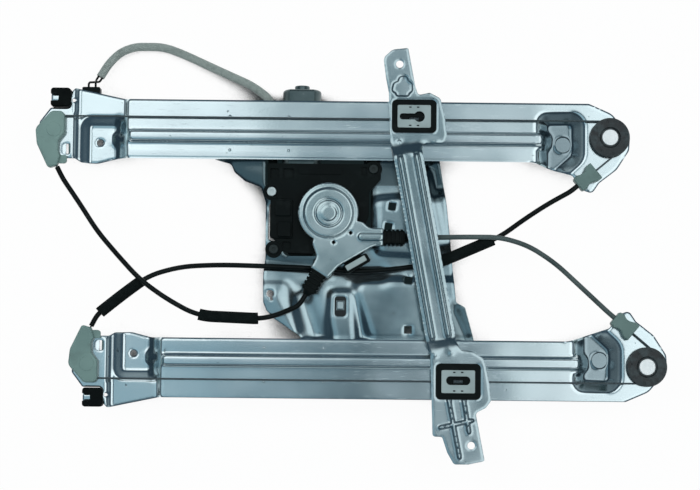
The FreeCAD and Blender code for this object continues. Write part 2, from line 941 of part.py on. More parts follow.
def motor_plate():
    slot_pad_face = panel_face - slot_pad_drop
    ridge_face = panel_face + ridge_rise
    features = [
        (flange_upper, plate_field, plate_flange_face, flange_wall_run),
        (flange_lower, plate_field, plate_flange_face, flange_wall_run),
        (panel_upper, plate_field, panel_face, wall_run),
        (panel_lower, plate_field, panel_face, panel_lower_run),
        (slot_pad, plate_field, slot_pad_face, wall_run),
        (wing_pad, plate_field, plate_field + wing_rise, wing_wall_run),
        (upper_ridge, plate_field, ridge_face, ridge_wall_run),
        (lower_ridge, panel_face, ridge_face, ridge_wall_run),
    ]
    body = pressed_sheet(plate_outline, plate_field, features, sheet, 0, [])
    openings = [
        shaped_hole(housing_window),
        round_hole(key_hole_radius, *key_hole),
        shaped_hole(band(key_hole, key_hole_tail, key_hole_tail_half_width, 0.5)),
        shaped_hole(rectangle(*clip_slot, *clip_slot_size, 3.0)),
    ]
    for x, y, angle in square_places:
        openings.append(shaped_hole(turned(rectangle(x, y, square_hole, square_hole), x, y, angle)))
    for place in ear_places:
        openings.append(round_hole(ear_hole_radius, *place))
    for s, t in rivet_places:
        openings.append(round_hole(rivet_radius, s - rail_shift, rail_inner_y + t))
        openings.append(round_hole(rivet_radius, s + rail_shift, -rail_inner_y - t))
    return body.cut(Part.makeCompound(openings)).removeSplitter()


# The silver spring tab seen through the slot of the plate
def plate_clip():
    x, y = clip_slot
    pad_back = panel_face - slot_pad_drop - sheet
    base = block(rectangle(x, y, *clip_base, 2.0), pad_back - clip_sheet, pad_back)
    arch = block(rectangle(x, y + 1.0, *clip_arch, 1.0), pad_back, panel_face + clip_rise)
    arch = arch.makeFillet(1.5, edges_above(arch, panel_face))
    return base.fuse(arch).removeSplitter()


# Motor and its gear housing
housing_plan = [
    (150.5, 86.0, 3.0),
    (150.5, 66.0, 2.0),
    (162.5, 50.0, 3.0),
    (153.5, 44.0, 3.0),
    (153.5, 12.0, 3.0),
    (165.0, 5.0, 3.0),
    (168.0, -3.5, 4.0),
    (206.0, -4.5, 12.0),
    (241.0, 8.0, 12.0),
    (252.5, 33.0, 16.0),
    (252.5, 58.0, 5.0),
    (264.0, 70.5, 4.0),
    (264.0, 86.0, 3.0),
]


# Shallow pockets of the housing, with ribs left between, as moulded housings have
core_pockets = [
    rectangle(157.5, 76.0, 9.0, 10.0, 1.5),
    rectangle(171.5, 76.0, 11.0, 10.0, 1.5),
    rectangle(159.5, 25.0, 8.0, 8.0, 1.5),
    rectangle(170.5, 3.5, 9.0, 8.0, 1.5),
    rectangle(247.5, 79.0, 6.0, 9.0, 1.5),
]


def gear_housing():
    seat = plate_field + housing_seat
    front = block(housing_plan, seat, housing_front)
    core = block(inset(housing_plan, housing_core_inset), housing_core_bottom, seat)
    core = core.common(shaped_hole(inset(housing_window, housing_gap)))
    dome_foot = housing_back + 4.0
    dome = Part.makeCone(dome_radius - dome_lean, dome_radius, dome_height, point(drum_x, drum_y, dome_foot))
    floor = cylinder(dome_radius - dome_floor_inset, drum_x, drum_y, housing_back, dome_foot + 1.0)
    worm_case = block(
        rectangle(motor_x, worm_case_middle_y, worm_case_width, worm_case_length, 4.0),
        motor_axis_z - worm_case_half_height,
        worm_case_top,
    )
    socket = block(
        rectangle(motor_x, can_start_y - worm_socket[1] / 2, *worm_socket, 2.0),
        motor_axis_z - worm_socket_depth,
        worm_socket_top,
    )
    pieces = [front, core, dome, floor, worm_case, socket, harness_socket()]
    for x, y in ear_places:
        pieces.append(cylinder(ear_radius, x, y, plate_field, ear_top))
        arm_end = (x + (drum_x - x) * ear_arm_share, y + (drum_y - y) * ear_arm_share)
        pieces.append(block(band((x, y), arm_end, ear_arm_half_width, 2.0), plate_field, ear_top))
    body = joined(pieces)
    cuts = [block(c, housing_front - core_pocket_depth, housing_front + 1) for c in core_pockets]
    for x, y in ear_places:
        cuts.append(cylinder(ear_hole_radius, x, y, plate_field - 1, ear_top + 1))
        cuts.append(cylinder(screw_head_radius + screw_gap, x, y, ear_top, housing_front + 1))
    cuts.append(cylinder(shaft_radius + slip_fit, drum_x, drum_y, shaft_bottom - 0.5, housing_front + 1))
    return body.cut(Part.makeCompound(cuts)).removeSplitter()


# Back cover of the wheel chamber, with radial ribs
def gear_cover():
    face = housing_back - back_cover_sheet
    plate = cylinder(dome_radius - back_cover_inset, drum_x, drum_y, face, housing_back)
    hub = cylinder(back_hub_radius, drum_x, drum_y, face - back_hub_height, face)
    pieces = [plate, hub]
    for i in range(back_ribs):
        a = math.radians(360 / back_ribs * i)
        near, far = back_hub_radius - 1.0, back_rib_reach
        start = (drum_x + near * math.cos(a), drum_y + near * math.sin(a))
        end = (drum_x + far * math.cos(a), drum_y + far * math.sin(a))
        pieces.append(block(band(start, end, back_rib_half_width, 0.5), face - back_rib_height, face))
    beside_worm = motor_x + worm_case_width / 2 + clearance
    keep = block([(beside_worm, -20), (300, -20), (300, 100), (beside_worm, 100)], -60, 0)
    return joined(pieces).common(keep)


def motor_can():
    body = Part.makeCylinder(
        can_radius, can_end_y - can_start_y, point(motor_x, can_start_y, motor_axis_z), point(0, 1, 0)
    )
    flats = block(
        rectangle(motor_x, (can_start_y + can_end_y) / 2, 60, can_end_y - can_start_y + 2),
        motor_axis_z - can_thickness / 2,
        motor_axis_z + can_thickness / 2,
    )
    body = body.common(flats)
    far_edges = [e for e in body.Edges if e.BoundBox.YMin > can_end_y - 0.1]
    body = body.makeFillet(3.0, far_edges)
    boss = Part.makeCylinder(
        end_boss_radius, end_boss_length, point(motor_x, can_end_y, motor_axis_z), point(0, 1, 0)
    )
    boss = boss.makeFillet(1.2, [e for e in boss.Edges if e.BoundBox.YMin > can_end_y + 1])
    return joined([body, boss])


# Raised boxes on the front of the housing: outline and height
box_steps = [
    (rectangle(165.0, 30.5, 22.5, 40.0, 2.0), 2.0),
    (rectangle(168.0, 19.5, 13.5, 15.0, 1.5), 5.0),
    (rectangle(166.5, 40.5, 16.0, 15.5, 1.5), 4.0),
]
lid_plan = rectangle(203.5, 79.5, 44.0, 8.0, 1.5)
lid_height = 1.4
box_round = 0.8


def control_box():
    pieces = []
    for plan, height in box_steps:
        top = housing_front + height
        step = block(plan, housing_front, top)
        pieces.append(step.makeFillet(box_round, edges_above(step, top - box_round)))
    return joined(pieces)


def housing_lid():
    return block(lid_plan, housing_front, housing_front + lid_height)


def plug_area(size, shift, radius=0.0):
    x, y = plug_place
    return turned(rectangle(x + shift[0], y + shift[1], *size, radius), x, y, plug_angle)


def plug_body():
    body = block(plug_area(plug_size, (0, 0), 2.0), plug_bottom, plug_top)
    body = body.makeFillet(1.0, edges_above(body, plug_top - 1))
    tongue = block(plug_area(plug_tongue, plug_tongue_shift, 1.0), plate_field + 0.4, tray_bottom)
    link_size = (plug_tongue[0], plug_link_depth)
    link = block(plug_area(link_size, plug_link_shift, 1.0), tray_bottom - 1.5, plug_bottom + 1)
    near = block(plug_area(plug_size, (0, 0)), 0, plug_top)
    return joined([body, tongue, link.common(near.fuse(tongue))])


def plug_lock():
    return block(plug_area(lock_size, lock_shift, 0.6), plug_top, plug_top + lock_height)


def motor_screws():
    screws = []
    for x, y in ear_places:
        top = ear_top + screw_head_height
        head = cylinder(screw_head_radius, x, y, ear_top, top)
        head = head.makeFillet(screw_head_round, edges_above(head, ear_top + 1))
        recess = block(rectangle(x, y, screw_recess, screw_recess, 0.8), top - screw_recess_depth, top + 1)
        shank = cylinder(ear_hole_radius - slip_fit, x, y, plate_field - sheet - screw_reach, ear_top)
        screws.append(head.fuse(shank).cut(recess))
    return Part.makeCompound(screws)


# Drum, its housing and cover
cover_plan = [
    (drum_x + 33.0, 29.0, 14.0),
    (252.5, 21.2, 8.0),
    (right_port_x, 21.2, 1.5),
    (right_port_x, 3.1, 1.5),
    (257.4, 3.1, 6.0),
    (223.0, -17.0, 8.0),
    (211.8, -29.6, 1.5),
    (195.0, -18.8, 1.5),
    (201.0, -7.5, 8.0),
    (193.4, 11.4, 14.0),
]


# The cable leaves the drum along the tangent that passes through the edge of the left port
def tangent_heading():
    x, y = drum_x - left_port_edge[0], drum_y - left_port_edge[1]
    angle = math.atan2(y, x) - math.asin(drum_pitch_radius / math.hypot(x, y))
    return -math.cos(angle), -math.sin(angle)


left_port_heading = tangent_heading()


def cover_outline_block(distance, bottom, top):
    arms = block(inset(cover_plan, distance), bottom, top)
    return arms.fuse(cylinder(cover_radius - distance, drum_x, drum_y, bottom, top)).removeSplitter()


def drum_cover():
    outer = cover_outline_block(0.0, cover_skirt_bottom, cover_arm_top)
    outer = outer.makeFillet(cover_round, edges_above(outer, cover_arm_top - 0.01))
    inner = cover_outline_block(cover_sheet, cover_skirt_bottom - 1, cover_arm_top - cover_sheet)
    rise = cover_dome_top - cover_arm_top
    step = Part.makeCone(step_radius, step_radius - rise, rise, point(drum_x, drum_y, cover_arm_top))
    hollow = step_radius - step_sheet
    step_inner = Part.makeCone(
        hollow, hollow - rise, rise, point(drum_x, drum_y, cover_arm_top - cover_sheet)
    )
    ring = Part.makeTorus(ring_radius, ring_groove_radius, point(drum_x, drum_y, cover_dome_top + ring_lift))
    boss_foot = point(drum_x, drum_y, cover_dome_top - boss_sink)
    boss = Part.makeCone(boss_radius, boss_radius - boss_height, boss_height, boss_foot)
    body = outer.cut(inner).fuse(step).cut(step_inner).cut(ring).fuse(boss)
    emboss_plan = rectangle(*emboss_place, *emboss_size, emboss_size[1] / 2 - 0.1)
    emboss = block(emboss_plan, cover_arm_top - 0.5, cover_arm_top + emboss_rise)
    emboss = emboss.makeFillet(emboss_round, edges_above(emboss, cover_arm_top + emboss_rise - 0.2))
    body = body.fuse(emboss.common(cover_outline_block(0.0, 0, cut_high)))
    cuts = [port_opening("right"), port_opening("left")]
    for x, y in cover_hole_places:
        plan = turned(rectangle(x, y, cover_hole, cover_hole), x, y, cover_hole_angle)
        cuts.append(block(plan, cover_arm_top - 3, cut_high))
    return body.cut(Part.makeCompound(cuts)).removeSplitter()


# Shapes made along +X from an arm's end are turned to the port's own direction
def port_frame(shape, which):
    if which == "right":
        return shape.translated(point(right_port_x, drum_y - drum_pitch_radius, 0))
    turned_shape = shape.copy()
    angle = math.degrees(math.atan2(left_port_heading[1], left_port_heading[0]))
    turned_shape.rotate(point(0, 0, 0), point(0, 0, 1), angle)
    return turned_shape.translated(point(left_port_edge[0], left_port_edge[1], 0))


def port_opening(which):
    width, height = port_tail_width + 2 * clearance, port_tail_height + 2 * clearance
    hole = Part.makeBox(
        6.0, width, height, point(-3.0, -width / 2, port_cable_z - height / 2)
    )
    return port_frame(hole, which)


def conduit_port(which):
    low = port_cable_z - port_thickness / 2
    side = port_width / 2
    section = [
        (-side, low, 2.5),
        (side, low, 2.5),
        (side, low + port_thickness, 3.5),
        (-side, low + port_thickness, 3.5),
    ]
    start = clearance
    pieces = [lying_block(inset(section, port_groove), start, start + port_length)]
    for i in range(port_ribs):
        rib_foot = start + i * port_rib_pitch
        pieces.append(lying_block(section, rib_foot, rib_foot + port_rib_pitch * port_rib_share))
    tail = Part.makeBox(
        port_tail_length,
        port_tail_width,
        port_tail_height,
        point(start - port_tail_length, -port_tail_width / 2, port_cable_z - port_tail_height / 2),
    )
    nose_foot = point(start + port_length, 0, port_cable_z)
    nose = Part.makeCone(port_nose_radius, port_nose_tip_radius, port_nose_length, nose_foot, point(1, 0, 0))
    body = joined(pieces + [tail, nose])
    bore_foot = point(start - port_bore_start, 0, port_cable_z)
    bore = Part.makeCylinder(cable_radius + slip_fit, port_bore_length, bore_foot, point(1, 0, 0))
    return port_frame(body.cut(bore), which)


# A block whose outline is given across the X axis, as (y, z, radius)
def lying_block(section, start, end):
    flat = block(section, start, end)
    flat.rotate(point(0, 0, 0), point(0, 0, 1), 90)
    flat.rotate(point(0, 0, 0), point(0, 1, 0), 90)
    return flat


# Centre of the face where the conduit starts, and the heading there
def port_end(which):
    reach = clearance + port_length + port_nose_length
    if which == "right":
        return (right_port_x + reach, drum_y - drum_pitch_radius), (1.0, 0.0)
    x = left_port_edge[0] + left_port_heading[0] * reach
    y = left_port_edge[1] + left_port_heading[1] * reach
    return (x, y), left_port_heading


def port_cable(which):
    (x, y), (hx, hy) = port_end(which)
    if which == "right":
        length = x - drum_x
    else:
        length = (drum_x - x) * -hx + (drum_y - y) * -hy
    return Part.makeCylinder(cable_radius, length, point(x, y, port_cable_z), point(-hx, -hy, 0))


def drum_housing():
    tray = cover_outline_block(cover_sheet + tray_gap, tray_bottom, cover_skirt_bottom)
    rim_radius = drum_flange_radius + tray_rim
    rim = cylinder(rim_radius, drum_x, drum_y, cover_skirt_bottom - 0.2, cover_skirt_bottom)
    bore = cylinder(shaft_radius + slip_fit, drum_x, drum_y, tray_bottom - 1, drum_bottom + 1)
    return tray.fuse(rim).cut(bore).removeSplitter()


def cable_drum():
    top = drum_bottom + drum_height
    root = drum_pitch_radius - cable_radius
    floor = top - drum_recess_depth
    profile = [
        point(shaft_radius, 0, drum_bottom),
        point(drum_flange_radius, 0, drum_bottom),
        point(drum_flange_radius, 0, drum_bottom + drum_flange),
        point(root, 0, drum_bottom + drum_flange),
        point(root, 0, top - drum_flange),
        point(drum_flange_radius, 0, top - drum_flange),
        point(drum_flange_radius, 0, top),
        point(drum_recess_radius, 0, top),
        point(drum_recess_radius - drum_recess_depth, 0, floor),
        point(drum_hub_radius, 0, floor),
        point(drum_hub_radius, 0, top + shaft_rise),
        point(shaft_radius, 0, top + shaft_rise),
    ]
    face = Part.Face(Part.makePolygon(profile + profile[:1]))
    body = face.revolve(point(0, 0, 0), point(0, 0, 1), 360)
    holes = []
    for i in range(drum_holes):
        a = math.radians(360 / drum_holes * (i + 0.5))
        x, y = drum_hole_circle * math.cos(a), drum_hole_circle * math.sin(a)
        holes.append(cylinder(drum_hole_radius, x, y, drum_bottom - 1, top + 1))
    return body.cut(Part.makeCompound(holes)).translated(point(drum_x, drum_y, 0))


# The wound cable, as one closed turn in each groove
def drum_cable():
    turns = []
    for z in (port_cable_z - drum_groove_shift, port_cable_z + drum_groove_shift):
        turns.append(Part.makeTorus(drum_pitch_radius, cable_radius, point(drum_x, drum_y, z)))
    return Part.makeCompound(turns)


def drum_shaft():
    body = cylinder(shaft_radius, drum_x, drum_y, shaft_bottom, drum_bottom + drum_height + shaft_rise)
    return body.makeChamfer(shaft_chamfer, [body.Edges[0]])


# Lift bracket
lift_outline = [
    (290.1, 202.0, 1.5),
    (274.5, 200.3, 9.0),
    (265.4, 192.0, 7.0),
    (268.0, 172.0, 10.0),
    (271.0, 157.0, 10.0),
    (273.0, 108.0, 6.0),
    (275.1, 98.2, 6.0),
    (311.1, -96.5, 4.0),
    (314.5, -104.8, 2.0),
    (317.2, -184.8, 3.0),
    (326.7, -185.3, 2.0),
    (331.9, -200.7, 4.0),
    (338.5, -212.1, 4.0),
    (352.5, -212.1, 6.0),
    (368.9, -208.5, 2.0),
    (359.7, -161.4, 4.0),
    (369.6, -156.3, 5.0),
    (375.0, -149.2, 5.0),
    (372.7, -129.8, 15.0),
    (368.0, -108.0, 9.0),
    (357.0, -101.5, 5.0),
    (345.5, -100.0, 4.0),
    (339.9, -91.2, 4.0),
    (303.8, 103.5, 4.0),
    (309.0, 107.0, 2.0),
    (327.0, 107.2, 5.0),
    (329.4, 114.0, 6.0),
    (327.2, 134.3, 10.0),
    (322.6, 151.5, 5.0),
    (312.0, 157.2, 5.0),
    (300.5, 154.6, 3.0),
    (297.5, 163.0, 5.0),
]
clover = [
    (278.8, 154.2, 1.0),
    (279.5, 157.0, 2.0),
    (274.6, 158.5, 3.5),
    (276.5, 166.5, 3.5),
    (281.0, 167.5, 1.5),
    (282.0, 172.5, 3.0),
    (288.5, 173.0, 3.0),
    (289.6, 168.5, 1.5),
    (294.0, 166.0, 4.0),
    (294.0, 158.5, 3.5),
    (290.5, 157.0, 1.5),
    (290.5, 154.2, 1.0),
]


tab_beads = [
    band((332.4, -146.0), (344.2, -206.5), tab_bead_half_width, 0.9),
    band((347.2, -146.0), (353.4, -181.5), tab_bead_half_width, 0.9),
    band((323.5, -176.2), (357.5, -168.5), tab_bead_half_width, 0.9),
]


def along_strip(share, offset):
    ux, uy = unit(strip_top, strip_bottom)
    x = strip_top[0] + (strip_bottom[0] - strip_top[0]) * share - uy * offset
    y = strip_top[1] + (strip_bottom[1] - strip_top[1]) * share + ux * offset
    return x, y


# A band along the strip between two shares of its length, at an offset from its middle
def strip_band(start, end, offset, half_width, radius):
    return band(along_strip(start, offset), along_strip(end, offset), half_width, radius)


def lift_bracket():
    strip_flat = strip_band(0.015, 0.985, 0, strip_half_width + 14, 1.0)
    features = [(strip_flat, bracket_face, strip_face, strip_wall_run)]
    for offset in bead_offsets:
        run = strip_band(0.03, 0.97, offset, bead_half_width, 0.8)
        features.append((run, strip_face, strip_face + bead_height, bead_wall_run))
        foot = strip_band(0.97, 1.055, offset, foot_half_width, 0.9)
        features.append((foot, bracket_face, bracket_face + bead_height, bead_wall_run))
    head = strip_band(-0.045, 0.03, -bead_offsets[1], foot_half_width, 0.9)
    features.append((head, bracket_face, bracket_face + bead_height, bead_wall_run))
    for bead in tab_beads:
        features.append((bead, bracket_face, bracket_face + tab_bead_height, bead_wall_run))
    features.append((clover, bracket_face, bracket_face - clover_depth, clover_wall_run))
    body = pressed_sheet(lift_outline, bracket_face, features, bracket_sheet, 0, [])
    flange = block(lift_outline, strip_face - strip_flange_depth, strip_face)
    flange = flange.cut(shaped_hole(inset(lift_outline, bracket_sheet * 0.8)))
    flange = flange.common(shaped_hole(strip_band(0.04, 0.96, 0, strip_half_width + 6, 1.0)))
    cuts = [
        round_hole(glass_hole_radius, *upper_glass_hole),
        round_hole(glass_hole_radius, *lower_glass_hole),
        shaped_hole(rectangle(*upper_window, window_corner)),
        shaped_hole(rectangle(*lower_window, window_corner)),
    ]
    return body.fuse(flange).cut(Part.makeCompound(cuts)).removeSplitter()


# Slider pieces, in rail plan coordinates
def window_plan(which):
    x, y, width, height = upper_window if which == "upper" else lower_window
    s = x + rail_shift if which == "upper" else x - rail_shift
    return s, abs(y) - rail_inner_y, width, height


def cable_groove(s, half_length):
    width, height = 2 * (cable_radius + clearance), 2 * (cable_radius + clearance)
    return Part.makeBox(
        2 * half_length, width, height, point(s - half_length, cable_t - width / 2, cable_z - height / 2)
    )


def nipple_pocket(s):
    half = nipple_length / 2 + nipple_gap
    reach = nipple_radius + nipple_gap
    return Part.makeBox(2 * half, 2 * reach, 2 * reach, point(s - half, cable_t - reach, cable_z - reach))


def slider(which):
    s = window_plan(which)[0]
    left, right = s - slider_half_length, s + slider_half_length
    outer = rail_width + clearance + hook_wall
    lip_bottom = rail_face - lip_depth
    pad = block(
        [(left, slider_inner_t, 2.0), (right, slider_inner_t, 2.0), (right, outer, 1.0), (left, outer, 1.0)],
        slider_back,
        slider_front,
    )
    floor_bottom = lip_bottom - clearance - hook_floor
    wall = block(
        [(left, rail_width + clearance), (right, rail_width + clearance), (right, outer), (left, outer)],
        floor_bottom,
        slider_back,
    )
    floor = block(
        [(left, hook_inner_t), (right, hook_inner_t), (right, outer), (left, outer)],
        floor_bottom,
        lip_bottom - clearance,
    )
    body = joined([pad, wall, floor])
    return body.cut(cable_groove(s, slider_half_length + 2)).cut(nipple_pocket(s))


def slider_frame(which):
    s, t, width, height = window_plan(which)
    outer = rectangle(s, t, width - 2 * clearance, height - 2 * clearance, window_corner - clearance)
    flange = rectangle(s, t, width + slider_frame_flange, height + slider_frame_flange, window_corner + 1)
    body = block(flange, slider_front, bracket_back).fuse(block(outer, bracket_back, bracket_back + frame_rise))
    seat = rectangle(s, t, carrier_size[0], carrier_size[1], 1.5)
    well = rectangle(s, t, carrier_size[0] - 2 * well_wall, carrier_size[1] - 2 * well_wall, 1.0)
    body = body.cut(block(seat, carrier_bottom(), cut_high))
    body = body.cut(block(well, slider_front + well_floor, cut_high))
    body = body.cut(cable_groove(s, slider_half_length + 6)).cut(nipple_pocket(s))
    return body.removeSplitter()


def carrier_bottom():
    return cable_z + nipple_radius + clearance


def carrier_plate(which):
    s, t, _, _ = window_plan(which)
    bottom = carrier_bottom()
    plan = rectangle(s, t, carrier_size[0] - 2 * seat_gap, carrier_size[1] - 2 * seat_gap, 1.4)
    body = block(plan, bottom, bottom + carrier_thickness)
    if which == "upper":
        slot = block(band((s - 14.5, t - 0.2), (s + 4.0, t - 0.2), 3.1, 3.0), bottom - 1, bottom + 4)
        body = body.cut(slot).cut(cylinder(5.4, s + 5.2, t - 0.2, bottom - 1, bottom + 4))
    else:
        slot = block(band((s - 12.0, t - 1.0), (s + 12.0, t - 1.0), 4.3, 4.2), bottom - 1, bottom + 4)
        body = body.cut(slot)
    for side in (-1, 1):
        for place in (-3.9, 3.9):
            nick = rectangle(s + place, t + side * (carrier_size[1] / 2 - 2.2), 2.6, 1.3, 0.5)
            body = body.cut(block(nick, bottom - 1, bottom + 4))
    return body


def cable_nipple(which):
    s = window_plan(which)[0]
    half = nipple_length / 2
    body = Part.makeCylinder(nipple_radius, nipple_length, point(s - half, cable_t, cable_z), point(1, 0, 0))
    bore = Part.makeCylinder(
        cable_radius + nipple_gap, nipple_length + 2, point(s - half - 1, cable_t, cable_z), point(1, 0, 0)
    )
    return body.cut(bore)


# Conduits between deflectors, drum ports and end fittings
def frame_point(vector, which):
    if which == "upper":
        return vector.x - rail_shift, vector.y + rail_inner_y, vector.z
    return vector.x + rail_shift, -vector.y - rail_inner_y, vector.z


def deflector_end(which):
    place, heading = deflector_exit()
    far = place + heading * deflector_exit_run
    beyond = far + heading * 13.0
    return frame_point(far, which), frame_point(beyond, which)


def fitting_end(which):
    place, heading = pulley_exit()
    far = place + heading * (fitting_distance + fitting_length / 2)
    beyond = far + heading * 9.0
    return frame_point(far, which), frame_point(beyond, which)


def port_ends(which):
    (x, y), (hx, hy) = port_end(which)
    return (x, y, port_cable_z), (x + hx * 13.0, y + hy * 13.0, port_cable_z)


# Where each foam sleeve starts along its conduit, and its length
upper_sleeve = (209.0, 59.0)
lower_sleeve = (16.0, 53.0)
right_sleeve = (368.0, 59.0)


def conduit_routes():
    a0, a1 = deflector_end("upper")
    a3, a2 = port_ends("left")
    upper = [
        a0,
        a1,
        (-34.7, 40.9, 17.3),
        (-17.9, 15.2, 17.6),
        (4.2, -10.0, 18.2),
        (25.3, -32.5, 18.4),
        (50.6, -50.5, 16.0),
        (82.3, -67.7, 12.5),
        (151.9, -70.3, 12.0),
        a2,
        a3,
    ]
    b0, b1 = deflector_end("lower")
    b3, b2 = fitting_end("upper")
    lower = [
        b0,
        b1,
        (9.4, -46.1, 11.5),
        (33.7, -27.6, 7.6),
        (65.5, -18.5, 6.0),
        (103.4, -16.3, 5.8),
        (152.8, -17.3, 5.7),
        (196.5, -18.6, 5.7),
        (234.5, -22.1, 5.7),
        (278.5, -19.2, 5.9),
        (322.9, -12.1, 9.9),
        (384.5, 14.8, 9.0),
        (406.9, 31.5, 11.5),
        (431.0, 47.4, 15.5),
        b2,
        b3,
    ]
    c0, c1 = port_ends("right")
    c3, c2 = fitting_end("lower")
    drum = [
        c0,
        c1,
        (344.0, 13.3, 17.2),
        (383.8, 13.3, 18.2),
        (411.6, 5.2, 17.6),
        (438.4, -11.9, 17.0),
        c2,
        c3,
    ]
    return upper, lower, drum


# The part of a path between two distances along it
def stretch(edges, start, end):
    kept = []
    passed = 0.0
    for edge in edges:
        low, high = max(start - passed, 0.0), min(end - passed, edge.Length)
        passed += edge.Length
        if high - low > 0.01:
            a, b = edge.getParameterByLength(low), edge.getParameterByLength(high)
            kept.append(Part.Edge(edge.Curve, a, b))
    return kept


def foam_sleeve(edges, place):
    start, length = place
    return rod_along(stretch(edges, start, start + length), sleeve_radius, conduit_radius + slip_fit)


# Harness: the sleeve lies beside the upper rail and ends in the motor plug behind it
harness_radius = 4.2
wire_radius = 1.1
harness_route = [
    (-21.5, 174.8, -14.0),
    (-13.2, 189.6, -17.0),
    (-1.8, 201.3, -19.0),
    (12.8, 207.1, -20.0),
    (41.9, 207.2, -20.0),
    (62.9, 199.5, -20.0),
    (97.7, 183.6, -20.0),
    (133.7, 167.7, -19.0),
    (154.0, 151.5, -15.0),
    (156.0, 126.0, -10.0),
    (156.0, 108.0, -10.0),
]
harness_connector_box = rectangle(-28.0, 151.0, 18.0, 21.0, 1.5)


def harness_sleeve():
    return rod_along(route_edges(harness_route), harness_radius)


def harness_wires():
    start = point(*harness_route[0])
    heading = (start - point(*harness_route[1])).normalize()
    side = heading.cross(point(0, 0, 1)).normalize()
    wires = []
    for offset, end in ((-2.0, (-31.5, 161.5, 0.0)), (2.0, (-24.5, 161.5, 0.0))):
        a = start + side * offset
        b = a + heading * 5.0
        d = point(*end)
        c = d + point(0.0, 5.5, 0.0)
        wires.append(rod_along(route_edges([tuple(a), tuple(b), tuple(c), tuple(d)]), wire_radius))
    return Part.makeCompound(wires)


def harness_connector():
    body = block(harness_connector_box, -6.0, zone_face - sheet)
    return body.makeFillet(0.8, [e for e in body.Edges if e.BoundBox.ZMax < -5.9])


def harness_plug():
    body = block(rectangle(156.0, 100.0, 12.0, 16.0, 1.5), -16.0, -4.0)
    neck = block(rectangle(155.0, 89.5, 9.0, 6.0, 1.0), -14.0, -6.0)
    return body.fuse(neck).removeSplitter()


# The housing's foot for that plug
def harness_socket():
    return block(rectangle(155.5, 82.0, 11.0, 9.0, 1.0), -16.0, plate_field + 0.6)


def export(name, shape):
    shape.exportStep("parts/" + name + ".step")


def main():
    os.makedirs("parts", exist_ok=True)
    rail_body = rail()
    deflector = cable_deflector()
    buffer_body = end_buffer()
    for which in ("upper", "lower"):
        export(which + "_rail", on_rail(rail_body, which))
        export(which + "_cable_deflector", on_rail(deflector, which))
        export(which + "_end_buffer", on_rail(buffer_body, which))
        export(which + "_pulley", on_rail(pulley(), which))
        export(which + "_pulley_pin", on_rail(pulley_pin(), which))
        export(which + "_conduit_fitting", on_rail(conduit_fitting(), which))
        export(which + "_rail_stud", on_rail(rail_stud(), which))
        export(which + "_plate_rivets", on_rail(rail_rivets(), which))
        export(which + "_rail_cable", on_rail(rail_cable(), which))
        export(which + "_slider", on_rail(slider(which), which))
        export(which + "_slider_frame", on_rail(slider_frame(which), which))
        export(which + "_carrier_plate", on_rail(carrier_plate(which), which))
        export(which + "_cable_nipple", on_rail(cable_nipple(which), which))
    export("motor_plate", motor_plate())
    export("plate_clip", plate_clip())
    export("gear_housing", gear_housing())
    export("gear_cover", gear_cover())
    export("motor_can", motor_can())
    export("control_box", control_box())
    export("housing_lid", housing_lid())
    export("plug_body", plug_body())
    export("plug_lock", plug_lock())
    export("motor_screws", motor_screws())
    export("drum_housing", drum_housing())
    export("drum_cover", drum_cover())
    export("cable_drum", cable_drum())
    export("drum_cable", drum_cable())
    export("drum_shaft", drum_shaft())
    export("right_conduit_port", conduit_port("right"))
    export("left_conduit_port", conduit_port("left"))
    export("port_cables", Part.makeCompound([port_cable("right"), port_cable("left")]))
    export("lift_bracket", lift_bracket())
    upper, lower, drum = conduit_routes()
    sleeves = {
        "upper_conduit": [("upper_conduit_sleeve", upper_sleeve)],
        "lower_conduit": [("lower_conduit_sleeve", lower_sleeve), ("right_conduit_sleeve", right_sleeve)],
        "drum_conduit": [],
    }
    for name, route in (("upper_conduit", upper), ("lower_conduit", lower), ("drum_conduit", drum)):
        edges = route_edges(route)
        for sleeve_name, place in sleeves[name]:
            export(sleeve_name, foam_sleeve(edges, place))
        tube = rod_along(edges, conduit_radius)
        length = sum(e.Length for e in edges)
        section = math.pi * conduit_radius**2
        radii = [round(e.Curve.Radius, 1) for e in edges if hasattr(e.Curve, "Radius")]
        print(name, "length", round(length, 1), "volume share", round(tube.Volume / (section * length), 5))
        print("  bend radii", radii)
        export(name, tube)
    export("harness_sleeve", harness_sleeve())
    export("harness_wires", harness_wires())
    export("harness_connector", harness_connector())
    export("harness_plug", harness_plug())


main()
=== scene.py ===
import bpy
import bmesh
import math
import numpy
from mathutils import Matrix, Vector
from mathutils.bvhtree import BVHTree


